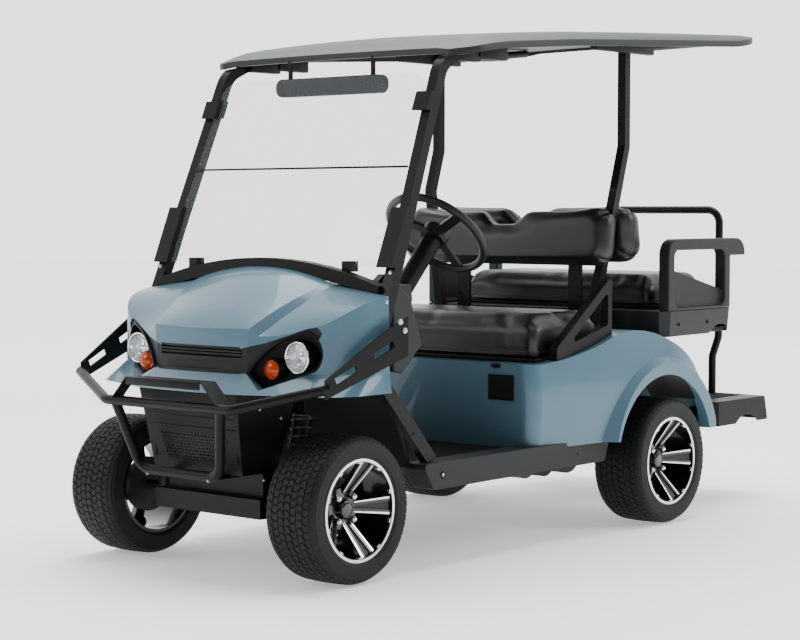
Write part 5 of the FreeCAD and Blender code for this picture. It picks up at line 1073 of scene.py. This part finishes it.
def refine(node, width):
    """A copy of a solid with merged faces and, where it has a width, narrow round edges."""
    crisp = 40 if width else 30
    work = bmesh.new()
    work.from_mesh(nodes[node].data)
    bmesh.ops.remove_doubles(work, verts=work.verts, dist=2e-5)
    bmesh.ops.dissolve_limit(work, angle_limit=math.radians(flat_angle), verts=work.verts, edges=work.edges)
    slot = slot_of[node]
    piece = keep("dressed_" + node, work, slot, crisp=crisp, body=body_of[node], outwards=False)
    if width:
        edge = piece.modifiers.new("edge", "BEVEL")
        edge.width = width
        edge.segments = 2
        edge.limit_method = "ANGLE"
        edge.angle_limit = math.radians(crisp)
        edge.use_clamp_overlap = True
    even = piece.modifiers.new("even", "WEIGHTED_NORMAL")
    even.keep_sharp = True
    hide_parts(node)


for node, width in shell_edges.items():
    refine(node, width)
print("refined shells:", len(shell_edges))

# %% [markdown]
# ## Front details
# The dark box behind the guard has a moulded band above its window, a slot in each corner facet and
# screws in its sides. Each slot is a near-black block, painted shade where the opening lies in
# shadow. The nose plate is folded down at its front edge.

# %% Band, painted slot shade, screws and folded edge
# Spots of the picture: the screws, each with its size, and the slot in the corner facet.
screw_spots = ((259.8, 410.0, 0.0035), (280.9, 418.3, 0.0035), (208.1, 481.1, 0.0045), (264.0, 480.3, 0.0045))
slot_spot = (236.2, 455.0)
slot_half = Vector((0.003, 0.0012, 0.034))
band_half, band_rise = 0.196, 0.0022
work = bmesh.new()
for z, lift in ((0.474, 0.0022), (0.508, 0.0016)):
    add_block(work, (-band_half, screen_front(z) - lift, z - band_rise),
              (band_half, screen_front(z) + 0.002, z + band_rise), round_by=0.0012)
add_block(work, (-0.168, at(0, -322, 0).y, 0.609), (0.168, at(0, -318, 0).y, 0.6338), round_by=0.0012)
keep("front_mouldings", work, "black_plastic")
screws = bmesh.new()
slot_shadows = bmesh.new()
for across, down, size in screw_spots:
    place, out = seen(across, down)
    if place is not None and place.y < nose_limit:
        for spot, way in mirrored_pair(place, out):
            add_bolt(screws, spot, way, size)
# The slot in each corner facet is a near-black block: painted shade for the shadow in the opening.
place, out = seen(*slot_spot)
if place is not None and place.y < nose_limit:
    for spot, way in mirrored_pair(place, out):
        add_block(slot_shadows, spot - slot_half, spot + slot_half, round_by=0.0025)
keep("front_screws", screws, "steel")
if slot_shadows.verts:
    keep("corner_slot_shadows", slot_shadows, "black_plastic", "gap")
print("front details in place")

# %% [markdown]
# ## Canopy
# The roof is one vacuum-formed shell. Its solid wavers between its few sections, so a shell with
# more of them stands in its place: a grid is draped over a crown that rises to the rear, folded down
# at the sides and ends, rounded at the corners in plan, and given its wall.

# %% Drape, fold and thicken the canopy
# Stations from front to rear: place, height of the edge, height of the crown, half-width.
canopy_rows = ((-0.666, 1.664, 1.692, 0.566), (-0.610, 1.676, 1.720, 0.590), (-0.479, 1.698, 1.762, 0.600),
               (-0.060, 1.732, 1.800, 0.602), (0.365, 1.757, 1.826, 0.602), (1.059, 1.797, 1.861, 0.600),
               (1.209, 1.828, 1.857, 0.584))
canopy_front, canopy_rear = canopy_rows[0][0], canopy_rows[-1][0]
canopy_wall = 0.012
skirt = 0.022
shoulder_at, shoulder_drop = 0.90, 0.34
corner_run, corner_draw = 0.10, 0.055
lags = (-0.05, -0.025, 0.0, 0.025, 0.05)
# Shares of the grid: where the shoulder starts, where the side folds down, how much the ends take.
grid_shoulder, grid_fold, grid_end = 0.80, 0.92, 0.02


def row_at(y):
    """Edge height, crown height and half-width at one station, with the kinks averaged out."""
    sums = Vector((0, 0, 0))
    for lag in lags:
        spot = min(max(y + lag, canopy_front), canopy_rear)
        before, after = next(pair for pair in zip(canopy_rows, canopy_rows[1:]) if spot <= pair[1][0])
        share = (spot - before[0]) / (after[0] - before[0])
        sums += Vector(before[1:]).lerp(Vector(after[1:]), share)
    return sums / len(lags)


def drape(across, share):
    """The canopy's place for a spot of the grid: across from the middle, and share of its length."""
    run = min(max((share - grid_end) / (1 - 2 * grid_end), 0.0), 1.0)
    y = canopy_front + (canopy_rear - canopy_front) * run
    edge, crest, half = row_at(y)
    turn = 1 - min(min(y - canopy_front, canopy_rear - y) / corner_run, 1.0)
    half -= corner_draw * (1 - math.sqrt(1 - turn ** 2))
    rim = edge + skirt
    shoulder = crest - shoulder_drop * (crest - rim)
    if across < grid_shoulder:
        reach = across / grid_shoulder
        top = crest - (crest - shoulder) * reach ** 2
        reach *= shoulder_at
    else:
        bend = min((across - grid_shoulder) / (grid_fold - grid_shoulder), 1.0)
        top = shoulder - (shoulder - rim) * (0.55 * bend + 0.45 * bend ** 2)
        reach = shoulder_at + (1 - shoulder_at) * bend
    fold = max((across - grid_fold) / (1 - grid_fold), 1 - share / grid_end, 1 - (1 - share) / grid_end, 0.0)
    bottom = max(edge, top - skirt)
    return reach * half, y, top + (bottom - top) * fold


work = bmesh.new()
bmesh.ops.create_grid(work, x_segments=72, y_segments=110, size=1.0)
for vert in work.verts:
    x, y, z = drape(abs(vert.co.x), (vert.co.y + 1) / 2)
    vert.co = (math.copysign(x, vert.co.x), y, z)
bmesh.ops.remove_doubles(work, verts=work.verts, dist=1e-5)
bmesh.ops.recalc_face_normals(work, faces=work.faces)
bmesh.ops.solidify(work, geom=work.faces, thickness=canopy_wall)
canopy = keep("canopy", work, "roof_plastic", crisp=40)
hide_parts("roof")
print("canopy spans", [round(size, 3) for size in canopy.dimensions])

# %% Rails that tie the canopy to the pillars and struts
rail_x, rail_half = 0.462, 0.016
# Each rail: its front, its rear, its foot and its top.
rail_blocks = ((-0.585, -0.44, 1.660, 1.711), (-0.46, -0.29, 1.672, 1.740), (0.24, 0.62, 1.744, 1.806))
rails = bmesh.new()
for sign in (1, -1):
    for front, rear, low, high in rail_blocks:
        add_block(rails, (sign * rail_x - rail_half, front, low), (sign * rail_x + rail_half, rear, high),
                  round_by=0.005)
    add_rod(rails, (sign * rail_x, 0.56, 1.770), (sign * rail_x, 1.08, 1.824), 0.015, sides=16)
keep("roof_grab_rails", rails, "roof_plastic", "black_plastic")
print("rails under the canopy: 2")

# %% [markdown]
# The finished model may not stand outside the solids' box by more than a few percent. The box
# that the finished model fills is found at the end.

# %% Sizes
import json

low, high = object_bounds()
